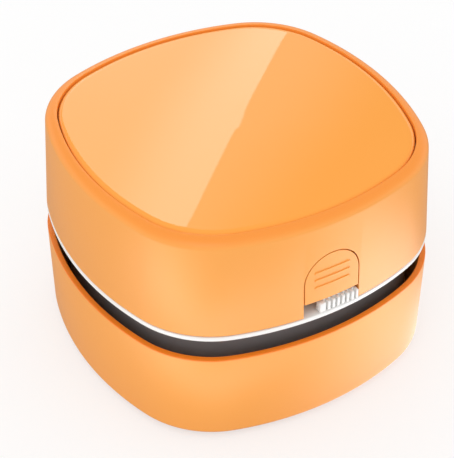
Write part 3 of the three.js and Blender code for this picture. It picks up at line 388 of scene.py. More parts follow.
    def combine(self, way: Combine, others: Sequence["Solid"]) -> "Solid":
        """Runs one boolean with all the other solids together.

        Args:
            way: What the boolean does.
            others: Solids that it takes.

        Returns:
            This solid, changed.
        """
        base = as_object(self.mesh, "base")
        group = bpy.data.collections.new("tools")
        bpy.context.scene.collection.children.link(group)
        tools = [as_object(other.mesh, "tool") for other in others]
        for tool in tools:
            bpy.context.scene.collection.objects.unlink(tool)
            group.objects.link(tool)
        modifier = base.modifiers.new("combine", "BOOLEAN")
        modifier.operation, modifier.solver = way.value, "EXACT"
        modifier.operand_type, modifier.collection = "COLLECTION", group
        result = base.evaluated_get(bpy.context.evaluated_depsgraph_get()).to_mesh()
        self.mesh.clear()
        self.mesh.from_mesh(result)
        used = [o.data for o in (base, *tools)]
        for thing in (base, *tools):
            bpy.data.objects.remove(thing)
        for data in used:
            bpy.data.meshes.remove(data)
        bpy.data.collections.remove(group)
        bmesh.ops.remove_doubles(self.mesh, verts=self.mesh.verts[:], dist=MERGE)
        return self

    def join(self, *others: "Solid") -> "Solid":
        """Joins other solids to this one."""
        return self.combine(Combine.JOIN, others)

    def cut(self, *others: "Solid") -> "Solid":
        """Cuts other solids out of this one."""
        return self.combine(Combine.CUT, others)

    def common(self, other: "Solid") -> "Solid":
        """Keeps what this solid shares with another."""
        return self.combine(Combine.COMMON, [other])


def wall(outer: float, inner: float, low: float, high: float) -> Solid:
    """Makes a wall that follows the casing outline between two half-widths."""
    return Solid.loft([(outer, low), (outer, high), (inner, high), (inner, low)], closed=True)


def tube(outer: float, inner: float, low: float, high: float) -> Solid:
    """Makes a round pipe about +Z."""
    return Solid.lathe([(outer, low), (outer, high), (inner, high), (inner, low)], closed=True)


def ring_places(count: int, reach: float, start: float = 0.0) -> list[Point2]:
    """Spreads places evenly round +Z.

    Args:
        count: Number of places.
        reach: Their distance from the axis.
        start: Angle of the first, in radians.

    Returns:
        X and Y of each place.
    """
    angles = [start + TURN * i / count for i in range(count)]
    return [(reach * math.cos(a), reach * math.sin(a)) for a in angles]


def rods(
    places: Iterable[Point2], radius: float, low: float, high: float, segments: int = 48
) -> list[Solid]:
    """Makes the same upright bar at several places.

    Args:
        places: X and Y of each bar.
        radius: Their radius.
        low: Their lower end.
        high: Their upper end.
        segments: Steps round each.

    Returns:
        The bars.
    """
    return [Solid.rod(radius, low, high, at, segments=segments) for at in places]


def sector(outer: float, inner: float, degrees: float, middle: float, steps: int) -> list[Point2]:
    """Gives the plan of a bar that is bent round +Z.

    Args:
        outer: Its outer radius.
        inner: Its inner radius.
        degrees: Angle that it spans.
        middle: Angle of its middle, in radians.
        steps: Straight steps along each side.

    Returns:
        The points of the plan.
    """
    turn, half = math.degrees(middle), degrees / 2
    return [
        *arc((0, 0), outer, turn - half, turn + half, steps),
        *arc((0, 0), inner, turn + half, turn - half, steps),
    ]


def coil(
    centre: Point2, radii: Point2, start: float, length: float, curls: int, steps: int
) -> list[Vector]:
    """Gives the middle line of a coil spring along Y.

    Args:
        centre: X and Z of its axis.
        radii: Its first and last radius.
        start: Where it starts along Y.
        length: How far it runs, negative towards -Y.
        curls: Number of turns.
        steps: Straight steps in each turn.

    Returns:
        Points along the wire.
    """
    points = []
    for i in range(steps * curls + 1):
        share = i / (steps * curls)
        reach, angle = radii[0] + (radii[1] - radii[0]) * share, TURN * curls * share
        x, z = centre[0] + reach * math.cos(angle), centre[1] + reach * math.sin(angle)
        points.append(Vector((x, start + length * share, z)))
    return points


def numbered(stem: str, count: int) -> list[str]:
    """Lists the names of repeated nodes."""
    return [f"{stem}_{i + 1}" for i in range(count)]


def centre_of(name: str) -> tuple[float, ...]:
    """Gives the middle of a node's box."""
    return tuple((low + high) / 2 for low, high in zip(*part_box(name)))


def centres(stem: str, count: int) -> list[Point2]:
    """Gives X and Y of the middle of each of some repeated nodes."""
    return [centre_of(name)[:2] for name in numbered(stem, count)]


def pin_bore() -> Solid:
    """Makes the drilling for the button's hinge pin."""
    return Solid.rod(1 * MM, -12 * MM, 12 * MM, centre_of("hinge_pin")[1:], Axis.X, 24)


# Finishes


class Tree:
    """Node tree of one finish, with short ways to add and join nodes."""

    def __init__(self, name: str) -> None:
        """Makes the material and its place in object space."""
        self.material = bpy.data.materials.new(name)
        self.material.use_nodes = True
        self.nodes = self.material.node_tree.nodes
        self.links = self.material.node_tree.links
        self.shader = self.nodes["Principled BSDF"]
        self.place = self.nodes.new("ShaderNodeTexCoord").outputs["Object"]

    def fill(self, node: bpy.types.Node, key: str | int, value: object) -> None:
        """Sets a socket, by a link where the value is a socket itself."""
        if isinstance(value, bpy.types.NodeSocket):
            self.links.new(value, node.inputs[key])
        else:
            node.inputs[key].default_value = value

    def add(self, kind: str, inputs: dict[str | int, object], **settings: object) -> bpy.types.Node:
        """Adds a node.

        Args:
            kind: Blender's name of the node.
            inputs: Values or sockets for its inputs.
            settings: Options of the node itself.

        Returns:
            The node.
        """
        node = self.nodes.new(kind)
        for key, value in settings.items():
            setattr(node, key, value)
        for key, value in inputs.items():
            self.fill(node, key, value)
        return node

    def noise(
        self, scale: float, detail: float = 2.0, stretch: Sequence[float] = (1, 1, 1)
    ) -> bpy.types.NodeSocket:
        """Gives soft noise over the piece, stretched along the axes."""
        place = self.add("ShaderNodeMapping", {"Vector": self.place, "Scale": stretch})
        inputs = {"Vector": place.outputs[0], "Scale": scale, "Detail": detail}
        return self.add("ShaderNodeTexNoise", inputs).outputs["Fac"]

    def along(self, axis: str) -> bpy.types.NodeSocket:
        """Gives the place along one axis."""
        return self.add("ShaderNodeSeparateXYZ", {"Vector": self.place}).outputs[axis]

    def ramp(self, value: bpy.types.NodeSocket, low: float, high: float) -> bpy.types.NodeSocket:
        """Gives a smooth rise from 0 to 1 between two values."""
        inputs = {"Value": value, "From Min": low, "From Max": high}
        made = self.add("ShaderNodeMapRange", inputs, interpolation_type="SMOOTHSTEP")
        return made.outputs[0]

    def span(self, value: bpy.types.NodeSocket, low: float, high: float) -> bpy.types.NodeSocket:
        """Stretches noise about its middle to run between two values."""
        inputs = {"Value": value, "From Min": 0.3, "From Max": 0.7, "To Min": low, "To Max": high}
        return self.add("ShaderNodeMapRange", inputs).outputs[0]

    def math(self, operation: str, first: object, second: object = 0.0) -> bpy.types.NodeSocket:
        """Works out one sum."""
        return self.add("ShaderNodeMath", {0: first, 1: second}, operation=operation).outputs[0]

    def blend(self, share: object, first: object, second: object) -> bpy.types.NodeSocket:
        """Mixes two colours."""
        inputs = {0: share, 6: first, 7: second}
        return self.add("ShaderNodeMix", inputs, data_type="RGBA").outputs[2]

    def bump(self, height: bpy.types.NodeSocket, distance: float) -> None:
        """Gives the surface relief."""
        made = self.add("ShaderNodeBump", {"Height": height, "Distance": distance, "Strength": 1.0})
        self.fill(self.shader, "Normal", made.outputs[0])


@dataclass(frozen=True)
class PaintedShadeBand:
    """Another colour that takes over above a height, used as painted shade on rims and rounded
    edges.
    """

    colour: str
    low: float
    high: float


@dataclass(frozen=True)
class Plastic:
    """Moulded plastic: a colour that drifts a little, fine grain and a skin."""

    name: str
    colour: str
    drift: str
    roughness: float = 0.4
    coat: float = 0.0
    coat_roughness: float = 0.05
    coat_ior: float = 1.5
    specular: float = 0.5
    grain: float = 0.01 * MM
    # Bands of painted shade that take over by height.
    bands: tuple[PaintedShadeBand, ...] = ()

    def make(self) -> bpy.types.Material:
        """Builds the material."""
        tree = Tree(self.name)
        soft = tree.noise(45.0, 3.0)
        colour = tree.blend(tree.span(soft, 0.0, 1.0), linear(self.colour), linear(self.drift))
        height = tree.along("Z") if self.bands else None
        # Painted shade: each band blends its darker colour in by height.
        for band in self.bands:
            colour = tree.blend(tree.ramp(height, band.low, band.high), colour, linear(band.colour))
        tree.fill(tree.shader, "Base Color", colour)
        fine = tree.noise(GRAIN_SCALE)
        rough = tree.span(fine, self.roughness * 0.92, self.roughness * 1.08)
        tree.fill(tree.shader, "Roughness", rough)
        for key, value in (
            ("Coat Weight", self.coat), ("Coat Roughness", self.coat_roughness),
            ("Coat IOR", self.coat_ior), ("Specular IOR Level", self.specular),
        ):
            tree.fill(tree.shader, key, value)
        if self.grain:
            tree.bump(fine, self.grain)
        return tree.material


@dataclass(frozen=True)
class Metal:
    """Bare metal with brushed or drawn lines along one axis."""

    name: str
    colour: str
    drift: str
    roughness: float = 0.3
    lines: tuple[float, float, float] = (1, 1, 0.05)
    line_scale: float = 1500.0
    relief: float = 0.01 * MM

    def make(self) -> bpy.types.Material:
        """Builds the material."""
        tree = Tree(self.name)
        brushed = tree.noise(self.line_scale, 3.0, self.lines)
        stained = tree.noise(180.0, 3.0)
        colour = tree.blend(tree.span(stained, 0.0, 1.0), linear(self.colour), linear(self.drift))
        tree.fill(tree.shader, "Base Color", colour)
        tree.fill(tree.shader, "Metallic", 1.0)
        rough = tree.span(brushed, self.roughness * 0.8, self.roughness * 1.2)
        tree.fill(tree.shader, "Roughness", rough)
        tree.bump(brushed, self.relief)
        return tree.material


@dataclass(frozen=True)
class FilterCloth:
    """Fine woven cloth: two crossing sets of threads over the piece."""

    name: str
    colour: str
    shade: str
    pitch: float = 0.5 * MM

    def make(self) -> bpy.types.Material:
        """Builds the material."""
        tree = Tree(self.name)
        inputs = {"Vector": tree.place, "Scale": 1 / self.pitch, "Distortion": 0.0}
        wefts = tree.add("ShaderNodeTexWave", inputs, bands_direction="X").outputs["Fac"]
        warps = tree.add("ShaderNodeTexWave", inputs, bands_direction="Y").outputs["Fac"]
        rows = tree.add("ShaderNodeTexWave", inputs, bands_direction="Z").outputs["Fac"]
        crossed = tree.math("MAXIMUM", wefts, warps)
        weave = tree.math("MULTIPLY", crossed, tree.math("ADD", rows, 0.4))
        colour = tree.blend(weave, linear(self.shade), linear(self.colour))
        tree.fill(tree.shader, "Base Color", colour)
        tree.fill(tree.shader, "Roughness", 0.95)
        tree.fill(tree.shader, "Sheen Weight", 0.3)
        tree.bump(weave, 0.08 * MM)
        return tree.material


@dataclass(frozen=True)
class CellWrap:
    """Printed sleeve of a battery: plain colour bands along Y, metal at the ends."""

    name: str
    body: str
    collar: str
    metal: str
    sleeve_low: float
    sleeve_high: float
    collar_low: float
    collar_high: float

    def make(self) -> bpy.types.Material:
        """Builds the material."""
        tree = Tree(self.name)
        along = tree.along("Y")
        inside = tree.math(
            "MULTIPLY",
            tree.ramp(along, self.sleeve_low - 0.02 * MM, self.sleeve_low + 0.02 * MM),
            tree.ramp(along, self.sleeve_high + 0.02 * MM, self.sleeve_high - 0.02 * MM),
        )
        collar = tree.ramp(along, self.collar_low, self.collar_high)
        soft = tree.noise(120.0, 2.0)
        sleeve = tree.blend(collar, linear(self.body), linear(self.collar))
        worn = tree.blend(tree.span(soft, 0.0, 0.12), sleeve, linear(self.metal))
        tree.fill(tree.shader, "Base Color", tree.blend(inside, linear(self.metal), worn))
        tree.fill(tree.shader, "Metallic", tree.math("SUBTRACT", 1.0, inside))
        tree.fill(tree.shader, "Roughness", tree.span(soft, 0.26, 0.34))
        tree.fill(tree.shader, "Coat Weight", 0.3)
        tree.bump(tree.noise(900.0, 2.0), 0.01 * MM)
        return tree.material


# Wall colour, its drift, and a deeper orange that is painted shade on the base's top rim.
SHELL_WALL, SHELL_DRIFT, SHELL_RIM_PAINTED_SHADE = "f9a64b", "f9a74d", "fc8212"


@dataclass(frozen=True)
class Finishes:
    """Every finish of the object, made once."""

    @staticmethod
    def make() -> dict[str, bpy.types.Material]:
        """Builds each material.

        Returns:
            Materials by their short names.
        """
        _, base_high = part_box("base_shell")
        _, cover_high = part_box("upper_shell")
        cell_low, cell_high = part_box("battery_1")
        turned_low, turned_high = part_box("battery_2")
        # Painted shade: a deeper orange along the base's top rim, where the rim reads darker.
        rim = PaintedShadeBand(SHELL_RIM_PAINTED_SHADE, base_high.z - 0.45 * MM, base_high.z - 0.1 * MM)
        # Painted shade: a darker, more saturated orange over the cover's rounded top edge, standing
        # in for the shade there.
        edge = PaintedShadeBand("fc9836", cover_high.z - 2.2 * MM, cover_high.z - 0.2 * MM)
        kinds = {
            "base": Plastic("orange base shell", SHELL_WALL, SHELL_DRIFT, 0.38, bands=(rim,)),
            "cover": Plastic("orange cover", SHELL_WALL, SHELL_DRIFT, 0.38, bands=(edge,)),
            "panel": Plastic(
                "polished orange panel", "ffa84a", "ffa94c", 0.3, coat=1.0, coat_roughness=0.02,
                coat_ior=1.5, specular=0.0, grain=0.0,
            ),
            "white": Plastic("white plastic", "f6f5f3", "f2f2f0", 0.35, grain=0.006 * MM),
            "smoke": Plastic(
                "smoked cup plastic", "6e6f72", "6a6b6e", 0.3, coat=1.0, coat_roughness=0.12,
                coat_ior=2.0, grain=0.0,
            ),
            "black": Plastic("black inner plastic", "232426", "1b1c1e", 0.5, grain=0.02 * MM),
            "rubber": Plastic(
                "grey rubber", "4c4d50", "434447", 0.85, grain=0.03 * MM, specular=0.3),
            "cloth": FilterCloth("filter cloth", "eceae2", "c9c6bb"),
            "steel": Metal("drawn steel", "c9ccd0", "a9adb3", 0.28),
            "screw": Metal("zinc plated steel", "c6c9cf", "a4a8ae", 0.25, lines=(1, 1, 1)),
            "brass": Metal("nickel plated brass", "d8cfae", "c4b486", 0.3, lines=(0.05, 1, 1)),
            "bristle": Plastic("nylon bristle", "2b2c31", "3c3d43", 0.45, grain=0.0),
            "cell_1": CellWrap(
                "battery sleeve", "2f3236", "c98a3c", "cfd2d6",
                cell_low.y + 0.3 * MM, cell_high.y - 1.9 * MM, 15.0 * MM, 15.1 * MM,
            ),
            "cell_2": CellWrap(
                "battery sleeve turned", "2f3236", "c98a3c", "cfd2d6",
                turned_low.y + 1.9 * MM, turned_high.y - 0.3 * MM, -15.0 * MM, -15.1 * MM,
            ),
        }
        return {key: kind.make() for key, kind in kinds.items()}


FINISH = Finishes.make()


def place(
    solid: Solid, name: str, node: str, finish: str, edge: float = 0.0, sharp: float = 32.0
) -> bpy.types.Object:
    """Puts a finished piece in for the CAD node that it stands for.

    Args:
        solid: Mesh of the piece, in place.
        name: Name of the piece.
        node: CAD node that it replaces.
        finish: Short name of its material.
        edge: Width of the rounding on its sharp edges, or 0 for none.
        sharp: Angle past which an edge stays sharp, in degrees.

    Returns:
        The piece.
    """
    made = as_object(solid.mesh, name)
    made.data.materials.append(FINISH[finish])
    if edge:
        bevel = made.modifiers.new("edges", "BEVEL")
        bevel.width, bevel.segments, bevel.limit_method = edge, 2, "ANGLE"
        bevel.angle_limit = math.radians(40)
    made.data.shade_smooth()
    made.data.set_sharp_from_angle(angle=math.radians(sharp))
    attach(made, body_of(frame["nodes"][node])[0])
    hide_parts(node)
    log.info("%s: %d faces", name, len(made.data.polygons))
    return made


def keep(nodes: Iterable[str], finish: str) -> None:
    """Gives CAD nodes that stay in view their finish."""
    for name in nodes:
        node = frame["nodes"][name]
        node.data.materials.clear()
        node.data.materials.append(FINISH[finish])


class HeadWay(Enum):
    """Which end of a screw its head is at."""

    BELOW = -1
    ABOVE = 1


@dataclass
class Screws:
    """A set of pan-head screws with a cross recess."""

    stem: str
    count: int
    head: HeadWay
    head_height: float = 1.3 * MM
    crown_share: float = 0.45
    shank: float = 1.0 * MM
    root_share: float = 0.8
    thread_pitch: float = 0.6 * MM
    thread_end: float = 1.6 * MM
    tip: float = 1.2 * MM
    recess: float = 0.35 * MM
    recess_reach: float = 1.15 * MM
    recess_share: float = 0.55

    def solid(self, low: Vector, high: Vector) -> Solid:
        """Makes one screw in the box of its node."""
        radius, length = (high.x - low.x) / 2, high.z - low.z
        head, core = self.head_height, self.shank * self.root_share
        crown = head * self.crown_share
        flat = radius * self.crown_share
        profile = [
            (0, 0), *arc((flat, crown), (radius - flat, crown), -90, 0, 5),
            (radius, head * 0.9), (radius * 0.94, head), (core, head),
        ]
        height = head + self.thread_pitch / 2
        while height < length - self.thread_end:
            profile += [(self.shank, height), (core, height + self.thread_pitch / 2)]
            height += self.thread_pitch
        profile += [(core, length - self.tip), (0, length)]
        made = Solid.lathe(profile, 24)
        reach, half, deep = self.recess_reach, self.recess / 2, head * self.recess_share
        made.cut(*[
            Solid.block((-x, -y, -deep), (x, y, deep)) for x, y in ((reach, half), (half, reach))
        ])
        if self.head is HeadWay.ABOVE:
            made.turn(math.pi, "X").move((0, 0, length))
        return made.move(((low.x + high.x) / 2, (low.y + high.y) / 2, low.z))

    def build(self) -> None:
        """Puts in every screw of the set."""
        for name in numbered(self.stem, self.count):
            place(self.solid(*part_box(name)), f"{name}_turned", name, "screw")


# Sub-assemblies


@dataclass
class DustBase:
    """Lower half: tub, dust cup, brushes, glide pads and their screws."""

    foot_half: float = 41.55 * MM
    wall: float = 1.35 * MM
    floor: float = 1.6 * MM
    foot_round: float = 1.6 * MM
    rim_round: float = 0.2 * MM
    inner_round: float = 1 * MM
    recess_radius: float = 26 * MM
    recess_depth: float = 3.6 * MM
    recess_wall: float = 1.5 * MM
    inlet_radius: float = 10 * MM
    screw_reach: float = 31.5 * MM
    boss_radius: float = 3.4 * MM
    bore_radius: float = 2.3 * MM
    bore_depth: float = 3.4 * MM
    hole_radius: float = 1.3 * MM
    peg_reach: float = 19 * MM
    peg_hole: float = 1.5 * MM
    peg_radius: float = 1.2 * MM
    peg_root: float = 0.6 * MM
    pad_hole: float = 4.8 * MM
    pad_depth: float = 0.6 * MM
    pad_round: float = 0.5 * MM
    cup_wall: float = 1.4 * MM
    cup_foot_round: float = 1.2 * MM
    cup_rim_round: float = 0.25 * MM
    chimney_wall: float = 1.6 * MM
    chimney_top: float = 14.6 * MM
    post_radius: float = 3 * MM
    post_height: float = 5.5 * MM
    post_cap: float = 0.9 * MM
    ring_inner: float = 10.6 * MM
    ring_height: float = 1.3 * MM
    ring_edge: float = 0.15 * MM
    strip_degrees: float = 58
    strip_width: float = 3 * MM
    slot_play: float = 0.6 * MM
    slot_play_degrees: float = 1.8
    backing: float = 1.7 * MM
    strand_rows: int = 5
    strands_in_row: int = 25
    strand_radius: float = 0.16 * MM
    strand_steps: int = 3
    strand_taper: float = 0.9
    strand_margin: float = 0.4 * MM
    strand_margin_degrees: float = 2.0
    strand_root: float = 0.1 * MM
    strand_splay: float = 0.3
    strand_stray: float = 0.12 * MM
    strand_twist: float = 0.006
    strand_short: float = 0.15 * MM
    draw_seed: int = 11

    def tub(self) -> None:
        """Builds the outer shell with its recess, bosses and pockets."""
        low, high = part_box("base_shell")
        foot, rim, bottom, top = self.foot_half, high.x, low.z, high.z
        pan_top = bottom + self.recess_depth + self.recess_wall
        floor_top = bottom + self.floor
        slope = (rim - foot) / (top - bottom)
        inner_foot = foot + slope * self.floor - self.wall
        sole, turn, bend = self.foot_round, self.rim_round, self.inner_round
        pot = Solid.loft([
            *arc((foot - sole, bottom + sole), sole, -90, 0, 8),
            *arc((rim - turn, top - turn), turn, 0, 90, 4),
            *arc((rim - self.wall + turn, top - turn), turn, 90, 180, 4),
            *arc((inner_foot - bend, floor_top + bend), bend, 0, -90, 5),
        ])
        middle = bottom + self.floor / 2
        screws = ring_places(4, self.screw_reach)
        pot.join(
            Solid.rod(self.recess_radius + self.recess_wall, middle, pan_top, segments=96),
            *rods(screws, self.boss_radius, middle, pan_top),
        )
        under, over = bottom - TOOL_DEPTH, pan_top + TOOL_DEPTH
        recess_top = bottom + self.recess_depth
        pegs = ring_places(4, self.peg_reach, TURN / 8)
        pot.cut(
            Solid.rod(self.recess_radius, under, recess_top, segments=96),
            Solid.rod(self.inlet_radius, bottom, over, segments=64),
            *rods(screws, self.bore_radius, under, bottom + self.bore_depth),
            *rods(screws, self.hole_radius, bottom, over, 24),
            *rods(pegs, self.peg_hole, recess_top - TOOL_DEPTH, over, 24),
            *rods(centres("glide_pad", 4), self.pad_hole, under, bottom + self.pad_depth),
        )
        place(pot, "base_tub", "base_shell", "base")

    def pads(self) -> None:
        """Builds the glide pads."""
        turn = self.pad_round
        for name in numbered("glide_pad", 4):
            low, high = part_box(name)
            radius, height = (high.x - low.x) / 2, high.z - low.z
            pad = Solid.lathe([
                (0, 0), *arc((radius - turn, turn), turn, -90, 0, 5), (radius, height), (0, height),
            ], 40)
            place(pad.move((*centre_of(name)[:2], low.z)), f"{name}_soft", name, "rubber")

    def cup(self) -> None:
        """Builds the smoked dust cup with its chimney and screw posts."""
        low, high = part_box("dust_cup")
        half, bottom, top = high.x, low.z, high.z
        inner, floor_top = half - self.cup_wall, bottom + self.cup_wall
        foot, rim = self.cup_foot_round, self.cup_rim_round
        pot = Solid.loft([
            *arc((half - foot, bottom + foot), foot, -90, 0),
            *arc((half - rim, top - rim), rim, 0, 90, 4),
            *arc((inner + rim, top - rim), rim, 90, 180, 4),
            *arc((inner - foot, floor_top + foot), foot, 0, -90),
        ])
        middle, post_top = bottom + self.cup_wall / 2, floor_top + self.post_height
        screws = ring_places(4, self.screw_reach)
        chimney = self.inlet_radius + self.chimney_wall
        pot.join(
            Solid.rod(chimney, middle, self.chimney_top, segments=64),
            *rods(screws, self.post_radius, middle, post_top),
        )
        under = bottom - TOOL_DEPTH
        pot.cut(
            Solid.rod(self.inlet_radius, under, self.chimney_top + TOOL_DEPTH, segments=64),
            *rods(screws, self.hole_radius, under, post_top - self.post_cap, 24),
        )
        place(pot, "smoked_cup", "dust_cup", "smoke")

    def strip(self, index: int, play: float = 0.0, play_degrees: float = 0.0) -> list[Point2]:
        """Gives the plan of a brush strip, or of its slot.

        Args:
            index: Which strip it is.
            play: How much wider it is than the strip.
            play_degrees: How much longer it is, in degrees.

        Returns:
            The points of the plan.
        """
        half, reach = (self.strip_width + play) / 2, self.peg_reach
        degrees = self.strip_degrees + play_degrees
        return sector(reach + half, reach - half, degrees, index * TURN / 4, 20)

    def holder(self) -> None:
        """Builds the ring that holds the brushes."""
        low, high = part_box("brush_holder")
        bottom, top = low.z, low.z + self.ring_height
        pegs = ring_places(4, self.peg_reach, TURN / 8)
        ring = tube(high.x, self.ring_inner, bottom, top)
        ring.join(*rods(pegs, self.peg_radius, bottom + self.peg_root, high.z, 24))
        ring.cut(*[
            Solid.prism(self.strip(i, self.slot_play, self.slot_play_degrees),
                        bottom - TOOL_DEPTH, top + TOOL_DEPTH)
            for i in range(4)
        ])
        place(ring, "brush_ring", "brush_holder", "black", edge=self.ring_edge)

    def strand(self, mesh: bmesh.types.BMesh, root: Vector, tip: Vector) -> None:
        """Grows one tapered bristle from its root to its tip."""
        made = bmesh.ops.create_circle(mesh, cap_ends=True, segments=5, radius=self.strand_radius)
        bmesh.ops.translate(mesh, vec=root, verts=made["verts"])
        face = made["verts"][0].link_faces[0]
        steps, taper = self.strand_steps, self.strand_taper
        lean = tip - root
        for i in range(steps):
            grown = bmesh.ops.extrude_face_region(mesh, geom=[face])["geom"]
            if i:
                bmesh.ops.delete(mesh, geom=[face], context="FACES_ONLY")
            verts = [g for g in grown if isinstance(g, bmesh.types.BMVert)]
            face = next(g for g in grown if isinstance(g, bmesh.types.BMFace))
            share = (2 * i + 1) / steps**2
            step = Vector((lean.x * share, lean.y * share, lean.z / steps))
            bmesh.ops.translate(mesh, vec=step, verts=verts)
            space = Matrix.Translation(-face.calc_center_median())
            bmesh.ops.scale(mesh, vec=(taper, taper, 1), verts=verts, space=space)

    def brushes(self) -> None:
        """Builds the four strips of bristles."""
        draw = random.Random(self.draw_seed)
        stray, twist = self.strand_stray, self.strand_twist
        inner = self.peg_reach - self.strip_width / 2 + self.strand_margin
        pitch = (self.strip_width - 2 * self.strand_margin) / (self.strand_rows - 1)
        span = math.radians(self.strip_degrees - self.strand_margin_degrees)
        for i, name in enumerate(numbered("bristle_strip", 4)):
            low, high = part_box(name)
            foot = high.z - self.backing
            backing = Solid.prism(self.strip(i), foot, high.z)
            for row in range(self.strand_rows):
                reach = inner + row * pitch
                for k in range(self.strands_in_row):
                    place_in_row = k + (0.75 if row % 2 else 0.25)
                    angle = i * TURN / 4 + span * (place_in_row / self.strands_in_row - 0.5)
                    splay = (reach - self.peg_reach) * self.strand_splay
                    splay += draw.uniform(-stray, stray)
                    side = angle + draw.uniform(-twist, twist)
                    root = Vector((
                        reach * math.cos(angle), reach * math.sin(angle), foot + self.strand_root))
                    far, end = reach + splay, low.z + draw.uniform(0, self.strand_short)
                    tip = Vector((far * math.cos(side), far * math.sin(side), end))
                    self.strand(backing.mesh, root, tip)
            bmesh.ops.recalc_face_normals(backing.mesh, faces=backing.mesh.faces[:])
            place(backing, f"bristles_{i + 1}", name, "bristle")

    def build(self) -> None:
        """Builds the whole lower half."""
        self.tub()
        self.pads()
        self.cup()
        self.holder()
        self.brushes()
        Screws("base_screw", 4, HeadWay.BELOW).build()


@dataclass
class Chassis:
    """White chassis of the head, its ring, fan well and seal."""

    ring_bottom: float = 30.2 * MM
    ring_top: float = 31.4 * MM
    ring_round: float = 0.3 * MM
    skirt_half: float = 35.4 * MM
    skirt_wall: float = 1.4 * MM
    skirt_bottom: float = 25.8 * MM
    well_radius: float = 27 * MM
    well_wall: float = 1.4 * MM
    well_floor: float = 25.8 * MM
    intake_radius: float = 13 * MM
    collar_radius: float = 17 * MM
    collar_wall: float = 1.2 * MM
    collar_drop: float = 3 * MM
    collar_overlap: float = 0.5 * MM
    guide_half: float = 39.9 * MM
    guide_wall: float = 1.2 * MM
    guide_top: float = 33.2 * MM
    gate_half: float = 10.6 * MM
    post_radius: float = 2.5 * MM
    post_gap: float = 0.3 * MM
    hole_radius: float = 1.3 * MM
    fan_hole_depth: float = 6 * MM
    lug_near: float = 8.8 * MM
    lug_far: float = 10.3 * MM
    lug_half: float = 1.5 * MM
    lug_round: float = 0.3 * MM
    bracket_front: float = -31.2 * MM
    bracket_half: float = 3.5 * MM
    bracket_wall: float = 1.4 * MM
    vent_outer: float = 40.05 * MM
    vent_width: float = 1.5 * MM
    vent_length: float = 16 * MM
    vent_spacing: float = 20 * MM
    groove_deep: float = 0.6 * MM
    groove_past: float = 1 * MM
    groove_play: float = 0.3 * MM
    seal_inner: float = 35.1 * MM
    seal_root: float = 0.45 * MM
    seal_shoulder: float = 0.4 * MM

    def vents(self) -> list[Solid]:
        """Gives the cutters of the exhaust slots, two on the back and on each side."""
        low, high = self.ring_bottom - TOOL_DEPTH, self.guide_top + TOOL_DEPTH
        end = self.guide_half + TOOL_DEPTH
        cutters = []
        for shift in (-self.vent_spacing / 2, self.vent_spacing / 2):
            near, far = shift - self.vent_length / 2, shift + self.vent_length / 2
            for corner, other in (
                ((near, 0, low), (far, end, high)),
                ((0, near, low), (end, far, high)),
                ((-end, near, low), (0, far, high)),
            ):
                band = wall(self.vent_outer, self.vent_outer - self.vent_width, low, high)
                cutters.append(Solid.block(corner, other).common(band))
        return cutters

    def frame_part(self) -> None:
        """Builds the ring with the well, skirt, collar, guide wall, posts and lugs."""
        _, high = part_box("chassis")
        half, turn, bottom, top = high.x, self.ring_round, self.ring_bottom, self.ring_top
        middle = (bottom + top) / 2
        ring = Solid.loft([
            *arc((half - turn, bottom + turn), turn, -90, 0, 4),
            *arc((half - turn, top - turn), turn, 0, 90, 4),
        ])
        _, pin_y, pin_z = centre_of("hinge_pin")
        guide = wall(self.guide_half, self.guide_half - self.guide_wall, middle, self.guide_top)
        gate, gate_back = self.gate_half, 2 * self.guide_wall - self.guide_half
        guide.cut(Solid.block((-gate, -half, top), (gate, gate_back, high.z)))
        lug, near, far = self.lug_half, self.lug_near, self.lug_far
        lugs = [
            Solid.block(
                (left, pin_y - lug, middle), (right, pin_y + lug, pin_z + lug), self.lug_round)
            for left, right in ((near, far), (-far, -near))
        ]
        well, well_bottom = self.well_radius, self.well_floor - self.well_wall
        skirt, skirt_bottom = self.skirt_half, self.skirt_bottom
        collar_low = well_bottom - self.collar_drop
        collar_top = self.well_floor - self.collar_overlap
        post_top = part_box("battery_tray")[0].z - self.post_gap
        tray_posts, fan_posts = centres("tray_screw", 4), centres("fan_screw", 4)
        bracket, front = self.bracket_half, self.bracket_front
        ring.join(
            wall(skirt, skirt - self.skirt_wall, skirt_bottom, middle),
            Solid.rod(well + self.well_wall, well_bottom, middle, segments=96),
            Solid.rod(self.collar_radius, collar_low, collar_top, segments=64),
            guide, *lugs,
            *rods(tray_posts, self.post_radius, middle, post_top, 32),
            *rods(fan_posts, self.post_radius, skirt_bottom, middle, 32),
            Solid.block((-bracket, front, middle),
                        (bracket, front + self.bracket_wall, high.z), self.lug_round),
        )
        seal_low, seal_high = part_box("neck_seal")
        groove = wall(skirt + self.groove_past, skirt - self.groove_deep,
                      seal_low.z - self.groove_play, seal_high.z + self.groove_play)
        bore, hole = self.collar_radius - self.collar_wall, self.hole_radius
        under, over = well_bottom - TOOL_DEPTH, top + TOOL_DEPTH
        ring.cut(
            Solid.rod(well, self.well_floor, high.z + TOOL_DEPTH, segments=96),
            Solid.rod(self.intake_radius, under, self.well_floor + TOOL_DEPTH, segments=64),
            Solid.rod(bore, under - TOOL_DEPTH, well_bottom, segments=64),
            groove, pin_bore(),
            *rods(tray_posts, hole, top, post_top + TOOL_DEPTH, 24),
            *rods(fan_posts, hole, top - self.fan_hole_depth, over, 24),
            *self.vents(),
        )
        place(ring, "chassis_moulded", "chassis", "white")

    def seal(self) -> None:
        """Builds the soft lip seal of the neck."""
        low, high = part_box("neck_seal")
        inner, height, root = self.seal_inner, high.z - low.z, self.seal_inner + self.seal_root
        profile = [
            (inner, low.z), (root, low.z),
            *arc((root, low.z + height * 0.55), (high.x - root, height * 0.3), -90, 90, 8),
            (inner + self.seal_shoulder, high.z), (inner, high.z),
        ]
        place(Solid.loft(profile, closed=True), "neck_lip_seal", "neck_seal", "rubber")

    def build(self) -> None:
        """Builds the chassis and its seal."""
        self.frame_part()
        self.seal()


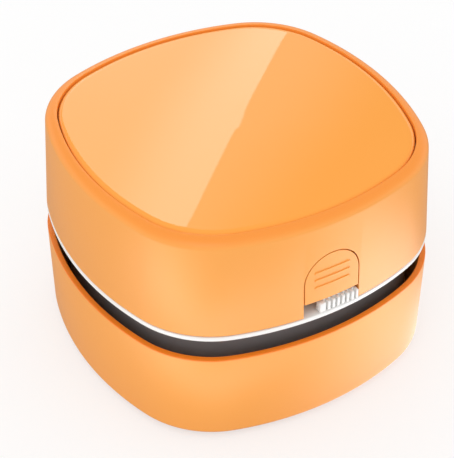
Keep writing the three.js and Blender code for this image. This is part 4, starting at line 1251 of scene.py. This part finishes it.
@dataclass
class Filter:
    """Filter that hangs under the fan: a ribbed frame and a cloth cup."""

    ribs: int = 6
    rib_width: float = 1.2 * MM
    rib_foot: float = 1.4 * MM
    rib_start: float = 0.6 * MM
    seat_radius: float = 17.3 * MM
    seat_bottom: float = 21.1 * MM
    foot_radius: float = 15 * MM
    foot_thickness: float = 1.2 * MM
    flange_height: float = 2.4 * MM
    cage_edge: float = 0.15 * MM
    cup_taper: float = 1.9 * MM
    cup_wall: float = 0.7 * MM
    cup_round: float = 0.6 * MM
    cup_floor: float = 0.9 * MM
    cup_fillet: float = 0.3 * MM

    def build(self) -> None:
        """Builds the frame and the cloth."""
        low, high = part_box("filter_frame")
        flange, seat, foot = high.x, self.seat_radius, self.foot_radius
        flange_low, start = high.z - self.flange_height, low.z + self.rib_start
        rib_top, half = flange_low + self.flange_height / 2, self.rib_width / 2
        cage = tube(flange, seat, flange_low, high.z)
        rib = [(foot - self.rib_foot, start), (foot, start),
               (flange - self.rib_foot, rib_top), (seat, rib_top)]
        ribs = [
            Solid.prism(rib, -half, half, Axis.Y).turn(i * TURN / self.ribs)
            for i in range(self.ribs)
        ]
        cage.join(Solid.rod(foot, low.z, low.z + self.foot_thickness, segments=64), *ribs)
        cage.cut(Solid.rod(seat, self.seat_bottom, high.z + TOOL_DEPTH, segments=64))
        place(cage, "filter_cage", "filter_frame", "white", edge=self.cage_edge)
        low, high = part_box("filter_mesh")
        mouth, turn = high.x, self.cup_round
        sole = mouth - self.cup_taper
        cup = Solid.lathe([
            (0, low.z), *arc((sole - turn, low.z + turn), turn, -90, 0, 5),
            (mouth, high.z), (mouth - self.cup_wall, high.z),
            (sole - self.cup_wall - self.cup_fillet, low.z + self.cup_floor + self.cup_fillet),
            (0, low.z + self.cup_floor),
        ], 96)
        place(cup, "filter_cup", "filter_mesh", "cloth")


@dataclass
class Fan:
    """Fan: housing, impeller, its shaft and the housing's screws."""

    radius: float = 29 * MM
    wall: float = 1.4 * MM
    top: float = 1.2 * MM
    cap_round: float = 0.5 * MM
    cap_edge: float = 0.15 * MM
    windows: int = 6
    window_degrees: float = 38
    window_top: float = 2.6 * MM
    window_reach: float = 3 * MM
    ear_radius: float = 2.8 * MM
    ear_thickness: float = 1.5 * MM
    hole_radius: float = 1.3 * MM
    ear_hole_drop: float = 1 * MM
    motor_hole: float = 3.2 * MM
    motor_screws: tuple[Point2, ...] = ((-8 * MM, 0), (8 * MM, 0))
    wheel_radius: float = 22 * MM
    wheel_plate: float = 1 * MM
    wheel_round: float = 0.3 * MM
    hub_radius: float = 3.4 * MM
    hub_nose: float = 2.6 * MM
    hub_fillet: float = 0.8 * MM
    blades: int = 9
    blade_thickness: float = 0.9 * MM
    blade_root: float = 9.5 * MM
    blade_low: float = 26.6 * MM
    blade_inset: float = 0.15 * MM
    blade_sweep: float = math.radians(48)
    blade_steps: int = 12
    shaft_radius: float = 1 * MM
    shaft_bore: float = 1.3 * MM
    shaft_tip: float = 0.25 * MM

    def housing(self) -> None:
        """Builds the round cap over the impeller."""
        low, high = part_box("fan_housing")
        radius, hole, turn = self.radius, self.hole_radius, self.cap_round
        bottom, top, under = low.z, high.z, high.z - self.top
        cap = Solid.lathe([
            (0, bottom), (radius, bottom), *arc((radius - turn, top - turn), turn, 0, 90, 4),
            (0, top),
        ], 96)
        ears, ear_top = centres("fan_screw", 4), bottom + self.ear_thickness
        cap.join(*rods(ears, self.ear_radius, bottom, ear_top))
        outer, inner = radius + self.window_reach, radius - self.window_reach
        windows = [
            sector(outer, inner, self.window_degrees, TURN * (i + 0.5) / self.windows, 12)
            for i in range(self.windows)
        ]
        low_end, over = under - TOOL_DEPTH, top + TOOL_DEPTH
        cap.cut(
            Solid.rod(radius - self.wall, bottom - TOOL_DEPTH, under, segments=96),
            *rods(ears, hole, bottom - TOOL_DEPTH, top - self.ear_hole_drop, 24),
            *[Solid.prism(plan, ear_top, bottom + self.window_top) for plan in windows],
            Solid.rod(self.motor_hole, low_end, over),
            *rods(self.motor_screws, hole, low_end, over, 24),
        )
        place(cap, "fan_cap", "fan_housing", "smoke", edge=self.cap_edge)

    def blade(self, radius: float) -> list[Point2]:
        """Gives the plan of one swept blade."""
        line, steps = [], self.blade_steps
        for i in range(steps + 1):
            share = i / steps
            reach = self.blade_root + (radius - self.blade_root) * share
            angle = -self.blade_sweep * share**2
            line.append(Vector((reach * math.cos(angle), reach * math.sin(angle))))
        sides: list[list[Point2]] = [[], []]
        for i, point in enumerate(line):
            along = (line[min(i + 1, steps)] - line[max(i - 1, 0)]).normalized()
            across = Vector((-along.y, along.x)) * self.blade_thickness / 2
            for side, way in zip(sides, (1, -1)):
                side.append((point + across * way)[:])
        return [*sides[0], *reversed(sides[1])]

    def rotor(self) -> None:
        """Builds the impeller and the motor's shaft."""
        low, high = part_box("impeller")
        bottom, top, plate = low.z, high.z, high.z - self.wheel_plate
        hub, nose, fillet = self.hub_radius, self.hub_nose, self.hub_fillet
        turn, rim = self.wheel_round, self.wheel_radius - self.wheel_round
        flat = hub * 0.45
        wheel = Solid.lathe([
            (0, bottom), (flat, bottom), *arc((flat, bottom + nose), (hub * 0.55, nose), -90, 0),
            (hub, plate - fillet), *arc((hub + fillet, plate - fillet), fillet, 180, 90, 4),
            (rim, plate), *arc((rim, plate + turn), turn, -90, 0, 3),
            *arc((rim, top - turn), turn, 0, 90, 3), (0, top),
        ], 96)
        plan = self.blade(self.wheel_radius - self.blade_inset)
        wheel.join(*[
            Solid.prism(plan, self.blade_low, (plate + top) / 2).turn(i * TURN / self.blades)
            for i in range(self.blades)
        ])
        wheel.cut(Solid.rod(self.shaft_bore, bottom - TOOL_DEPTH, top + TOOL_DEPTH, segments=32))
        place(wheel, "impeller_wheel", "impeller", "white")
        low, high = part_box("motor_shaft")
        radius, tip = self.shaft_radius, self.shaft_tip
        shaft = Solid.lathe([
            (0, low.z), (radius - tip, low.z), (radius, low.z + tip),
            (radius, high.z - tip), (radius - tip, high.z), (0, high.z),
        ], 32)
        place(shaft, "shaft_turned", "motor_shaft", "steel")

    def build(self) -> None:
        """Builds the fan."""
        self.housing()
        self.rotor()
        Screws("fan_screw", 4, HeadWay.ABOVE).build()


@dataclass
class Motor:
    """Small motor: can, end cap, terminals and mounting screws."""

    radius: float = 12.2 * MM
    edge: float = 0.8 * MM
    bore: float = 1.3 * MM
    screw_reach: float = 8 * MM
    screw_depth: float = 3 * MM
    crimp_drop: float = 2.2 * MM
    crimp_slope: float = 0.3 * MM
    crimp_width: float = 0.4 * MM
    crimp_depth: float = 0.25 * MM
    cap_thickness: float = 1.3 * MM
    cap_round: float = 0.3 * MM
    bearing_radius: float = 3 * MM

    def build(self) -> None:
        """Builds the motor."""
        low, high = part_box("motor_can")
        edge, radius, bore = self.edge, self.radius, self.bore
        crimp, slope, neck = high.z - self.crimp_drop, self.crimp_slope, radius - self.crimp_depth
        crimp_top = crimp + self.crimp_width
        can = Solid.lathe([
            (bore, low.z), *arc((radius - edge, low.z + edge), edge, -90, 0, 5),
            (radius, crimp - slope), (neck, crimp), (neck, crimp_top), (radius, crimp_top + slope),
            *arc((radius - edge, high.z - edge), edge, 0, 90, 5), (bore, high.z),
        ], 80, closed=True)
        places = [(-self.screw_reach, 0), (self.screw_reach, 0)]
        can.cut(*rods(places, bore, low.z - TOOL_DEPTH, low.z + self.screw_depth, 24))
        place(can, "motor_drum", "motor_can", "steel")
        low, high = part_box("motor_end_cap")
        plate, turn, bearing = low.z + self.cap_thickness, self.cap_round, self.bearing_radius
        cap = Solid.lathe([
            (bore, low.z), (high.x, low.z), *arc((high.x - turn, plate - turn), turn, 0, 90, 4),
            (bearing, plate), *arc((bearing - turn, high.z - turn), turn, 0, 90, 4),
            (bore, high.z),
        ], 64, closed=True)
        place(cap, "motor_cap", "motor_end_cap", "black")
        keep(numbered("motor_terminal", 2), "brass")
        Screws("motor_screw", 2, HeadWay.BELOW, head_height=0.8 * MM).build()


@dataclass
class Power:
    """Battery tray, two cells, contacts and springs."""

    cell_radius: float = 7.25 * MM
    cell_edge: float = 0.7 * MM
    rim: float = 1.3 * MM
    rim_inner: float = 1.6 * MM
    lip: float = 0.25 * MM
    nub_radius: float = 2.7 * MM
    nub_foot: float = 0.5 * MM
    nub_round: float = 0.4 * MM
    nub: float = 1.2 * MM
    curls: int = 3
    curl_steps: int = 32
    spring_radii: Point2 = (4.2 * MM, 2 * MM)
    spring_place: float = 20 * MM
    wire_radius: float = 0.3 * MM

    def cell(self, name: str, way: int) -> None:
        """Builds one battery that points along Y."""
        low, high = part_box(name)
        length, body = high.y - low.y, high.y - low.y - self.nub
        radius, turn, lip = self.cell_radius, self.cell_edge, self.lip
        knob, tip = self.nub_radius, self.nub_round
        profile = [
            (0, lip), (radius - self.rim_inner, lip), (radius - self.rim, 0),
            *arc((radius - turn, turn), turn, -90, 0, 5),
            *arc((radius - turn, body - turn), turn, 0, 90, 5),
            (radius - self.rim, body - lip), (knob + self.nub_foot, body - lip),
            (knob, body), *arc((knob - tip, length - tip), tip, 0, 90, 4), (0, length),
        ]
        made = Solid.lathe(profile, 64).turn(-way * TURN / 4, "X")
        x, _, z = centre_of(name)
        made.move((x, low.y if way > 0 else high.y, z))
        place(made, f"{name}_sleeved", name, f"cell_{name[-1]}")

    def spring(self, name: str, way: int) -> None:
        """Builds one conical contact spring along Y."""
        low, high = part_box(name)
        wire, height = self.wire_radius, centre_of(f"battery_{name[-1]}")[2]
        points = coil(
            (-way * self.spring_place, height), self.spring_radii,
            low.y + wire if way > 0 else high.y - wire, way * (high.y - low.y - 2 * wire),
            self.curls, self.curl_steps,
        )
        place(Solid.wire(points, wire), f"{name}_wound", name, "steel")

    def build(self) -> None:
        """Builds the battery compartment."""
        keep(["battery_tray"], "black")
        self.cell("battery_1", 1)
        self.cell("battery_2", -1)
        keep(numbered("contact_plate", 4), "brass")
        self.spring("contact_spring_1", 1)
        self.spring("contact_spring_2", -1)
        Screws("tray_screw", 4, HeadWay.ABOVE).build()


@dataclass
class Cover:
    """Upper shell with its arched notch, and the glossy panel let into its top."""

    wall: float = 1.5 * MM
    foot_round: float = 0.2 * MM
    top_half: float = 40.6 * MM
    seam_half: float = 37.9 * MM
    lip: float = 0.15 * MM
    edge_drop: float = 2.15 * MM
    ledge: float = 2.6 * MM
    ledge_thickness: float = 1.5 * MM
    ledge_drop: float = 2.4 * MM
    notch_half: float = 7.3 * MM
    notch_back: float = -35.75 * MM
    arch_centre: float = 40.4 * MM
    catch_low: float = 49.2 * MM
    catch_height: float = 1 * MM
    catch_half: float = 5 * MM
    catch_reach: float = 0.6 * MM
    panel_half: float = 37.6 * MM
    panel_foot: float = 0.3 * MM
    panel_drop: float = 0.7 * MM
    panel_reach: float = 1.5 * MM
    dome_rise: float = 0.5 * MM
    dome_rings: int = 10

    def half_at(self, height: float) -> float:
        """Gives the half-width of the cover's outer surface at a height."""
        low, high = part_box("upper_shell")
        share = (height - low.z) / (high.z - self.edge_drop - low.z)
        return high.x + (self.top_half - high.x) * share

    def arch(self, half: float, bottom: float, front: float, back: float) -> Solid:
        """Makes an upright arch that runs through the front wall."""
        top = arc((0, self.arch_centre), half, 0, 180, 40)
        return Solid.prism([(-half, bottom), (half, bottom), *top], front, back, Axis.Y)

    def shell(self) -> None:
        """Builds the upper shell."""
        low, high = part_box("upper_shell")
        half, bottom, top, seam = high.x, low.z, high.z, self.seam_half
        turn, lip, drop = self.foot_round, self.lip, self.edge_drop
        ledge_top = top - self.ledge_drop
        ledge_low, ledge_half = ledge_top - self.ledge_thickness, seam - self.ledge
        shell = Solid.loft([
            *arc((half - turn, bottom + turn), turn, -90, 0, 3),
            *arc((seam, top - drop), (self.top_half - seam, drop), 0, 84, 12),
            (seam + lip / 2, top), (seam, top - lip), (seam, ledge_top),
            (ledge_half, ledge_top), (ledge_half, ledge_low),
            (self.half_at(ledge_low) - self.wall, ledge_low), (half - self.wall, bottom),
        ], closed=True)
        catch, catch_low = self.catch_half, self.catch_low
        face = self.half_at(catch_low) - self.wall
        shell.join(Solid.block(
            (-catch, -face - self.wall / 2, catch_low),
            (catch, self.catch_reach - face, catch_low + self.catch_height),
        ))
        under, front = bottom - TOOL_DEPTH, -half - TOOL_DEPTH
        shell.cut(self.arch(self.notch_half, under, front, self.notch_back))
        place(shell, "cover_shell", "upper_shell", "cover")

    def panel(self) -> None:
        """Builds the domed panel."""
        low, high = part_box("top_panel")
        half, foot, drop, rings = self.panel_half, self.panel_foot, self.panel_drop, self.dome_rings
        edge_top, flat = high.z - self.dome_rise, half - self.panel_reach
        shares = [1 - i / rings for i in range(1, rings)]
        panel = Solid.loft([
            (half - foot, low.z), (half, low.z + foot),
            *arc((flat, edge_top - drop), (self.panel_reach, drop), 0, 90, 10),
            *[(flat * share, edge_top + self.dome_rise * (1 - share**2)) for share in shares],
        ])
        place(panel, "top_panel_polished", "top_panel", "panel", sharp=60)

    def build(self) -> None:
        """Builds the cover."""
        self.shell()
        self.panel()


@dataclass
class Release:
    """Arched release button, its hinge pin and return spring."""

    cover: Cover
    tab_half: float = 7.0 * MM
    tab_bottom: float = 35.4 * MM
    flange_half: float = 8.5 * MM
    flange_depth: float = 1.8 * MM
    flange_thickness: float = 1.2 * MM
    barrel_radius: float = 1.7 * MM
    tongue_half: float = 4 * MM
    grip_half: float = 4.6 * MM
    grip_height: float = 0.7 * MM
    grip_pitch: float = 2 * MM
    grip_proud: float = 0.25 * MM
    grip_root: float = 0.75 * MM
    grip_lift: float = 0.4 * MM
    tab_edge: float = 0.1 * MM
    front: float = -45 * MM
    tongue_front: float = -37.97 * MM
    tongue_wall: float = 1.2 * MM
    tongue_step: float = 0.5 * MM
    tongue_spine: float = 1.9 * MM
    tongue_low: float = 43.3 * MM
    root_front: float = -39.0 * MM
    root_top: float = 47.7 * MM
    pin_edge: float = 0.12 * MM
    wire_radius: float = 0.225 * MM
    coil_radius: float = 1.6 * MM
    coil_height: float = 45.0 * MM
    curls: int = 4
    curl_steps: int = 28
    pressed_share: float = 0.85

    def layer(self, depth: float, thickness: float) -> Solid:
        """Makes a layer of the cover's wall between two depths below its surface."""
        low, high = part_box("upper_shell")
        heights = (low.z, high.z - self.cover.edge_drop)
        outer = [(self.cover.half_at(z) - depth, z) for z in heights]
        inner = [(half - thickness, z) for half, z in reversed(outer)]
        return Solid.loft([*outer, *inner], closed=True)

    def grips(self) -> list[Solid]:
        """Makes the three grip bars on the front of the tab."""
        bars, half = [], self.grip_height / 2
        end = self.grip_half - half
        for i in (-1, 0, 1):
            middle = self.cover.arch_centre + self.grip_lift + i * self.grip_pitch + half
            plan = [
                *arc((end, middle), half, -90, 90, 6), *arc((-end, middle), half, 90, 270, 6),
            ]
            layer = self.layer(-self.grip_proud, self.grip_proud + self.grip_root)
            bars.append(layer.common(Solid.prism(plan, self.front, 0, Axis.Y)))
        return bars

    def button(self) -> None:
        """Builds the button with its grips, hinge barrel and tongue."""
        arch, bottom, flange = self.cover.arch, self.tab_bottom, self.flange_half
        depth, thickness = self.flange_depth, self.flange_thickness
        tab = self.layer(0, depth + thickness / 2)
        tab.common(arch(self.tab_half, bottom, self.front, 0))
        hem = self.layer(depth, thickness).common(arch(flange, bottom, self.front, 0))
        pin_low, pin_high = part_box("hinge_pin")
        _, pin_y, pin_z = centre_of("hinge_pin")
        web_front = depth + thickness / 2 - self.cover.half_at(pin_z)
        barrel, tongue, rear = self.barrel_radius, self.tongue_half, self.tongue_front
        top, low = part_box("release_button")[1].z, self.tongue_low
        step, spine = rear + self.tongue_step, rear + self.tongue_spine
        back = rear + self.tongue_wall
        tab.join(
            hem, *self.grips(),
            Solid.rod(barrel, -flange, flange, (pin_y, pin_z), Axis.X, 32),
            *[Solid.block(corner, other) for corner, other in (
                ((-flange, web_front, pin_z - barrel / 2), (flange, pin_y, pin_z + barrel / 2)),
                ((-tongue, step, low), (tongue, spine, top)),
                ((-tongue, self.root_front, low), (tongue, back, self.root_top)),
                ((-tongue, rear, top - self.tongue_wall), (tongue, back, top)),
            )],
        )
        tab.cut(pin_bore())
        place(tab, "release_tab", "release_button", "cover", edge=self.tab_edge)
        pin = Solid.rod(pin_high.z - pin_z, pin_low.x, pin_high.x, (pin_y, pin_z), Axis.X, 24)
        place(pin, "hinge_rod", "hinge_pin", "steel", edge=self.pin_edge)

    def spring(self) -> None:
        """Builds the return spring."""
        low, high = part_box("button_spring")
        wire, height = self.wire_radius, self.coil_height
        points = coil(
            (0, height), (self.coil_radius, self.coil_radius), low.y + wire,
            high.y - low.y - 2 * wire, self.curls, self.curl_steps,
        )
        piece = place(Solid.wire(points, wire), "return_spring", "button_spring", "steel")
        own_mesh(piece)

    def build(self) -> None:
        """Builds the button and its mechanism."""
        self.button()
        self.spring()


@dataclass
class Switch:
    """Slide switch: ribbed knob and the case behind it."""

    grooves: int = 7
    pitch: float = 1.25 * MM
    groove: float = 0.6 * MM
    groove_depth: float = 1.3 * MM
    knob_depth: float = 1.8 * MM
    knob_round: float = 0.18 * MM
    rib_edge: float = 0.06 * MM
    stem_half: float = 1.5 * MM
    stem_start: float = 0.9 * MM
    stem_height: float = 1.2 * MM
    stem_drop: float = 0.65 * MM

    def build(self) -> None:
        """Builds the knob and the case."""
        low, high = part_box("switch_knob")
        front, middle, top = low.y, (low.x + high.x) / 2, high.z - self.stem_drop
        knob = Solid.block(
            (low.x, front, low.z), (high.x, front + self.knob_depth, high.z), self.knob_round)
        knob.join(Solid.block(
            (middle - self.stem_half, front + self.stem_start, top - self.stem_height),
            (middle + self.stem_half, high.y, top),
        ))
        rights = [high.x - (i + 0.5) * self.pitch for i in range(self.grooves)]
        knob.cut(*[
            Solid.block(
                (right - self.groove, front - TOOL_DEPTH, low.z - TOOL_DEPTH),
                (right, front + self.groove_depth, high.z + TOOL_DEPTH),
            )
            for right in rights
        ])
        place(knob, "ribbed_knob", "switch_knob", "white", edge=self.rib_edge)
        keep(["switch_body"], "steel")


@dataclass(frozen=True)
class Glow:
    """Bright patch of the studio floor that glossy surfaces mirror."""

    azimuth: float
    reach: float
    deep: float
    wide: float
    strength: float

    def shade(self, tree: Tree) -> bpy.types.NodeSocket:
        """Gives the strength of the patch over the floor.

        Args:
            tree: Node tree of the floor.

        Returns:
            The socket with the strength, which fades out softly.
        """
        angle = math.radians(self.azimuth)
        centre = (self.reach * math.cos(angle), self.reach * math.sin(angle), 0)
        place = tree.add("ShaderNodeMapping", {
            "Vector": tree.place, "Location": centre, "Rotation": (0, 0, angle),
            "Scale": (self.deep, self.wide, 1),
        }, vector_type="TEXTURE")
        ball = tree.add(
            "ShaderNodeTexGradient", {"Vector": place.outputs[0]}, gradient_type="SPHERICAL")
        return tree.math("MULTIPLY", tree.ramp(ball.outputs["Fac"], 0.0, 1.0), self.strength)


@dataclass(frozen=True)
class Card:
    """Softly lit card that glossy surfaces mirror, with one slanted edge."""

    name: str
    edge_strength: float
    far_strength: float
    fade_start: float
    fade_end: float
    reach: float
    middle: Vector = Vector((0.4182, 0.6848, 0.6476))
    across: Vector = Vector((-0.6347, 0.6891, -0.3501))
    upward: Vector = Vector((-0.6482, -0.2277, 0.7268))
    length: float = 0.4
    slant: float = -0.077
    steps: int = 16

    def build(self) -> None:
        """Stands the card up."""
        mesh = bmesh.new()
        near, far = [], []
        for i in range(self.steps + 1):
            along = self.length * (i / self.steps - 0.5)
            edge = self.middle + self.upward * along + self.across * self.slant * along
            near.append(mesh.verts.new(edge))
            far.append(mesh.verts.new(edge + self.across * self.reach))
        for i in range(self.steps):
            mesh.faces.new((near[i], near[i + 1], far[i + 1], far[i]))
        made = as_object(mesh, self.name)
        tree = Tree(self.name)
        away = tree.add(
            "ShaderNodeVectorMath", {0: tree.place, 1: self.across}, operation="DOT_PRODUCT",
        ).outputs["Value"]
        start = self.middle.dot(self.across)
        fade = tree.add("ShaderNodeMapRange", {
            "Value": away, "From Min": start + self.fade_start, "From Max": start + self.fade_end,
            "To Min": self.edge_strength, "To Max": self.far_strength,
        }, interpolation_type="SMOOTHSTEP")
        glow = tree.add("ShaderNodeEmission", {"Strength": fade.outputs[0]})
        clear = tree.add("ShaderNodeBsdfTransparent", {})
        both = tree.add("ShaderNodeAddShader", {0: glow.outputs[0], 1: clear.outputs[0]})
        path = tree.add("ShaderNodeLightPath", {})
        mix = tree.add("ShaderNodeMixShader", {
            0: path.outputs["Is Glossy Ray"], 1: clear.outputs[0], 2: both.outputs[0]})
        tree.links.new(mix.outputs[0], tree.nodes["Material Output"].inputs["Surface"])
        made.data.materials.append(tree.material)
        made.visible_shadow = made.visible_diffuse = made.visible_camera = False


@dataclass
class Studio:
    """Camera, floor, world, cards and lamp."""

    camera_at: tuple[float, float, float] = (-160.5 * MM, -263.25 * MM, 277.69 * MM)
    camera_to: tuple[float, float, float] = (-3.05 * MM, -1.6 * MM, 27.55 * MM)
    lamp_at: tuple[float, float, float] = (-0.5, -0.55, 0.9)
    lamp_to: tuple[float, float, float] = (0, 0, 30 * MM)
    lamp_size: float = 0.7
    lamp_power: float = 1.5
    lens: float = 130.35
    floor_size: float = 6.0
    floor_drop: float = 0.05 * MM
    floor_glow: float = 0.6
    sky: float = 0.97
    ceiling: float = 0.2
    ceiling_low: float = math.sin(math.radians(22))
    ceiling_high: float = math.sin(math.radians(30))
    mirrored_floor: float = 0.4
    glows: tuple[Glow, ...] = (
        Glow(203, 105 * MM, 55 * MM, 75 * MM, 4.2),
        Glow(300, 86 * MM, 85 * MM, 60 * MM, 4.5),
        Glow(240, 71 * MM, 18 * MM, 80 * MM, 4.0),
    )
    cards: tuple[Card, ...] = (
        Card("left card", 3.1, 1.75, 0.02, 0.11, 0.4),
        Card("right card", 0.85, 0.0, 0.0, -0.125, -0.2),
    )

    def aim(self, made: bpy.types.Object, at: Sequence[float], to: Sequence[float]) -> None:
        """Puts a camera or lamp into the scene, turned towards a point."""
        bpy.context.scene.collection.objects.link(made)
        made.location = at
        made.rotation_mode = "QUATERNION"
        made.rotation_quaternion = (Vector(to) - Vector(at)).to_track_quat("-Z", "Y")

    def camera(self) -> None:
        """Stands the camera where the photograph was seen from."""
        data = bpy.data.cameras.new("camera")
        data.lens, data.sensor_width, data.clip_start = self.lens, 36.0, 0.01
        made = bpy.data.objects.new("camera", data)
        self.aim(made, self.camera_at, self.camera_to)
        bpy.context.scene.camera = made

    def world(self) -> None:
        """Lights the object evenly, with a white backdrop under a darker ceiling."""
        world = bpy.data.worlds.new("sky")
        bpy.context.scene.world = world
        world.use_nodes = True
        nodes, links = world.node_tree.nodes, world.node_tree.links
        sky = nodes["Background"]
        sky.inputs["Color"].default_value = (1, 1, 1, 1)
        sky.inputs["Strength"].default_value = self.sky
        seen, place, split, fade, path, some, either, mix = (
            nodes.new(f"ShaderNode{kind}") for kind in (
                "Background", "TexCoord", "SeparateXYZ", "MapRange", "LightPath", "Math", "Math",
                "MixShader",
            )
        )
        seen.inputs["Color"].default_value = (1, 1, 1, 1)
        fade.interpolation_type = "SMOOTHSTEP"
        for key, value in (("From Min", self.ceiling_low), ("From Max", self.ceiling_high),
                           ("To Min", 1.0), ("To Max", self.ceiling)):
            fade.inputs[key].default_value = value
        some.operation = either.operation = "MAXIMUM"
        for source, output, target, entry in (
            (place, "Generated", split, 0), (split, "Z", fade, "Value"),
            (fade, 0, seen, "Strength"), (path, "Is Camera Ray", some, 0),
            (path, "Is Glossy Ray", some, 1), (some, 0, either, 0),
            (path, "Is Transmission Ray", either, 1), (either, 0, mix, 0), (sky, 0, mix, 1),
            (seen, 0, mix, 2), (mix, 0, nodes["World Output"], 0),
        ):
            links.new(source.outputs[output], target.inputs[entry])

    def floor(self) -> None:
        """Lays the pale floor, which keeps a soft shadow of the object."""
        mesh = bmesh.new()
        bmesh.ops.create_grid(mesh, x_segments=1, y_segments=1, size=self.floor_size / 2)
        bmesh.ops.translate(mesh, vec=(0, 0, -self.floor_drop), verts=mesh.verts[:])
        made = as_object(mesh, "floor")
        tree = Tree("pale floor")
        grain = tree.noise(30.0, 3.0)
        tree.fill(tree.shader, "Base Color", tree.blend(grain, linear("fbfbfb"), linear("f8f8f8")))
        tree.fill(tree.shader, "Roughness", 0.9)
        tree.fill(tree.shader, "Specular IOR Level", 0.0)
        path = tree.add("ShaderNodeLightPath", {})
        white = tree.add("ShaderNodeEmission", {"Color": (1, 1, 1, 1), "Strength": 1.0})
        straight = tree.math(
            "MAXIMUM", path.outputs["Is Camera Ray"], path.outputs["Is Transmission Ray"])
        pale = tree.add("ShaderNodeMixShader", {
            0: tree.math("MULTIPLY", straight, self.floor_glow), 1: tree.shader.outputs[0],
            2: white.outputs[0]})
        strength = self.mirrored_floor
        for glow in self.glows:
            strength = tree.math("ADD", strength, glow.shade(tree))
        mirrored = tree.add("ShaderNodeEmission", {"Color": (1, 1, 1, 1), "Strength": strength})
        mix = tree.add("ShaderNodeMixShader", {
            0: path.outputs["Is Glossy Ray"], 1: pale.outputs[0], 2: mirrored.outputs[0]})
        tree.links.new(mix.outputs[0], tree.nodes["Material Output"].inputs["Surface"])
        made.data.materials.append(tree.material)

    def lamp(self) -> None:
        """Hangs one soft square lamp that looks at the object."""
        data = bpy.data.lights.new("key", "AREA")
        data.shape, data.size, data.energy = "SQUARE", self.lamp_size, self.lamp_power
        self.aim(bpy.data.objects.new("key", data), self.lamp_at, self.lamp_to)

    def build(self) -> None:
        """Sets up the studio."""
        bpy.context.scene.view_settings.view_transform = "Standard"
        self.camera()
        self.world()
        self.floor()
        for card in self.cards:
            card.build()
        self.lamp()


def main() -> None:
    """Builds every sub-assembly and the studio, and reports each piece."""
    logging.basicConfig(level=logging.INFO, format="%(name)s %(message)s")
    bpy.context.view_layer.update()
    Studio().build()
    DustBase().build()
    Chassis().build()
    Filter().build()
    Fan().build()
    Motor().build()
    Power().build()
    cover = Cover()
    cover.build()
    Release(cover).build()
    Switch().build()


if __name__ == "__main__":
    main()
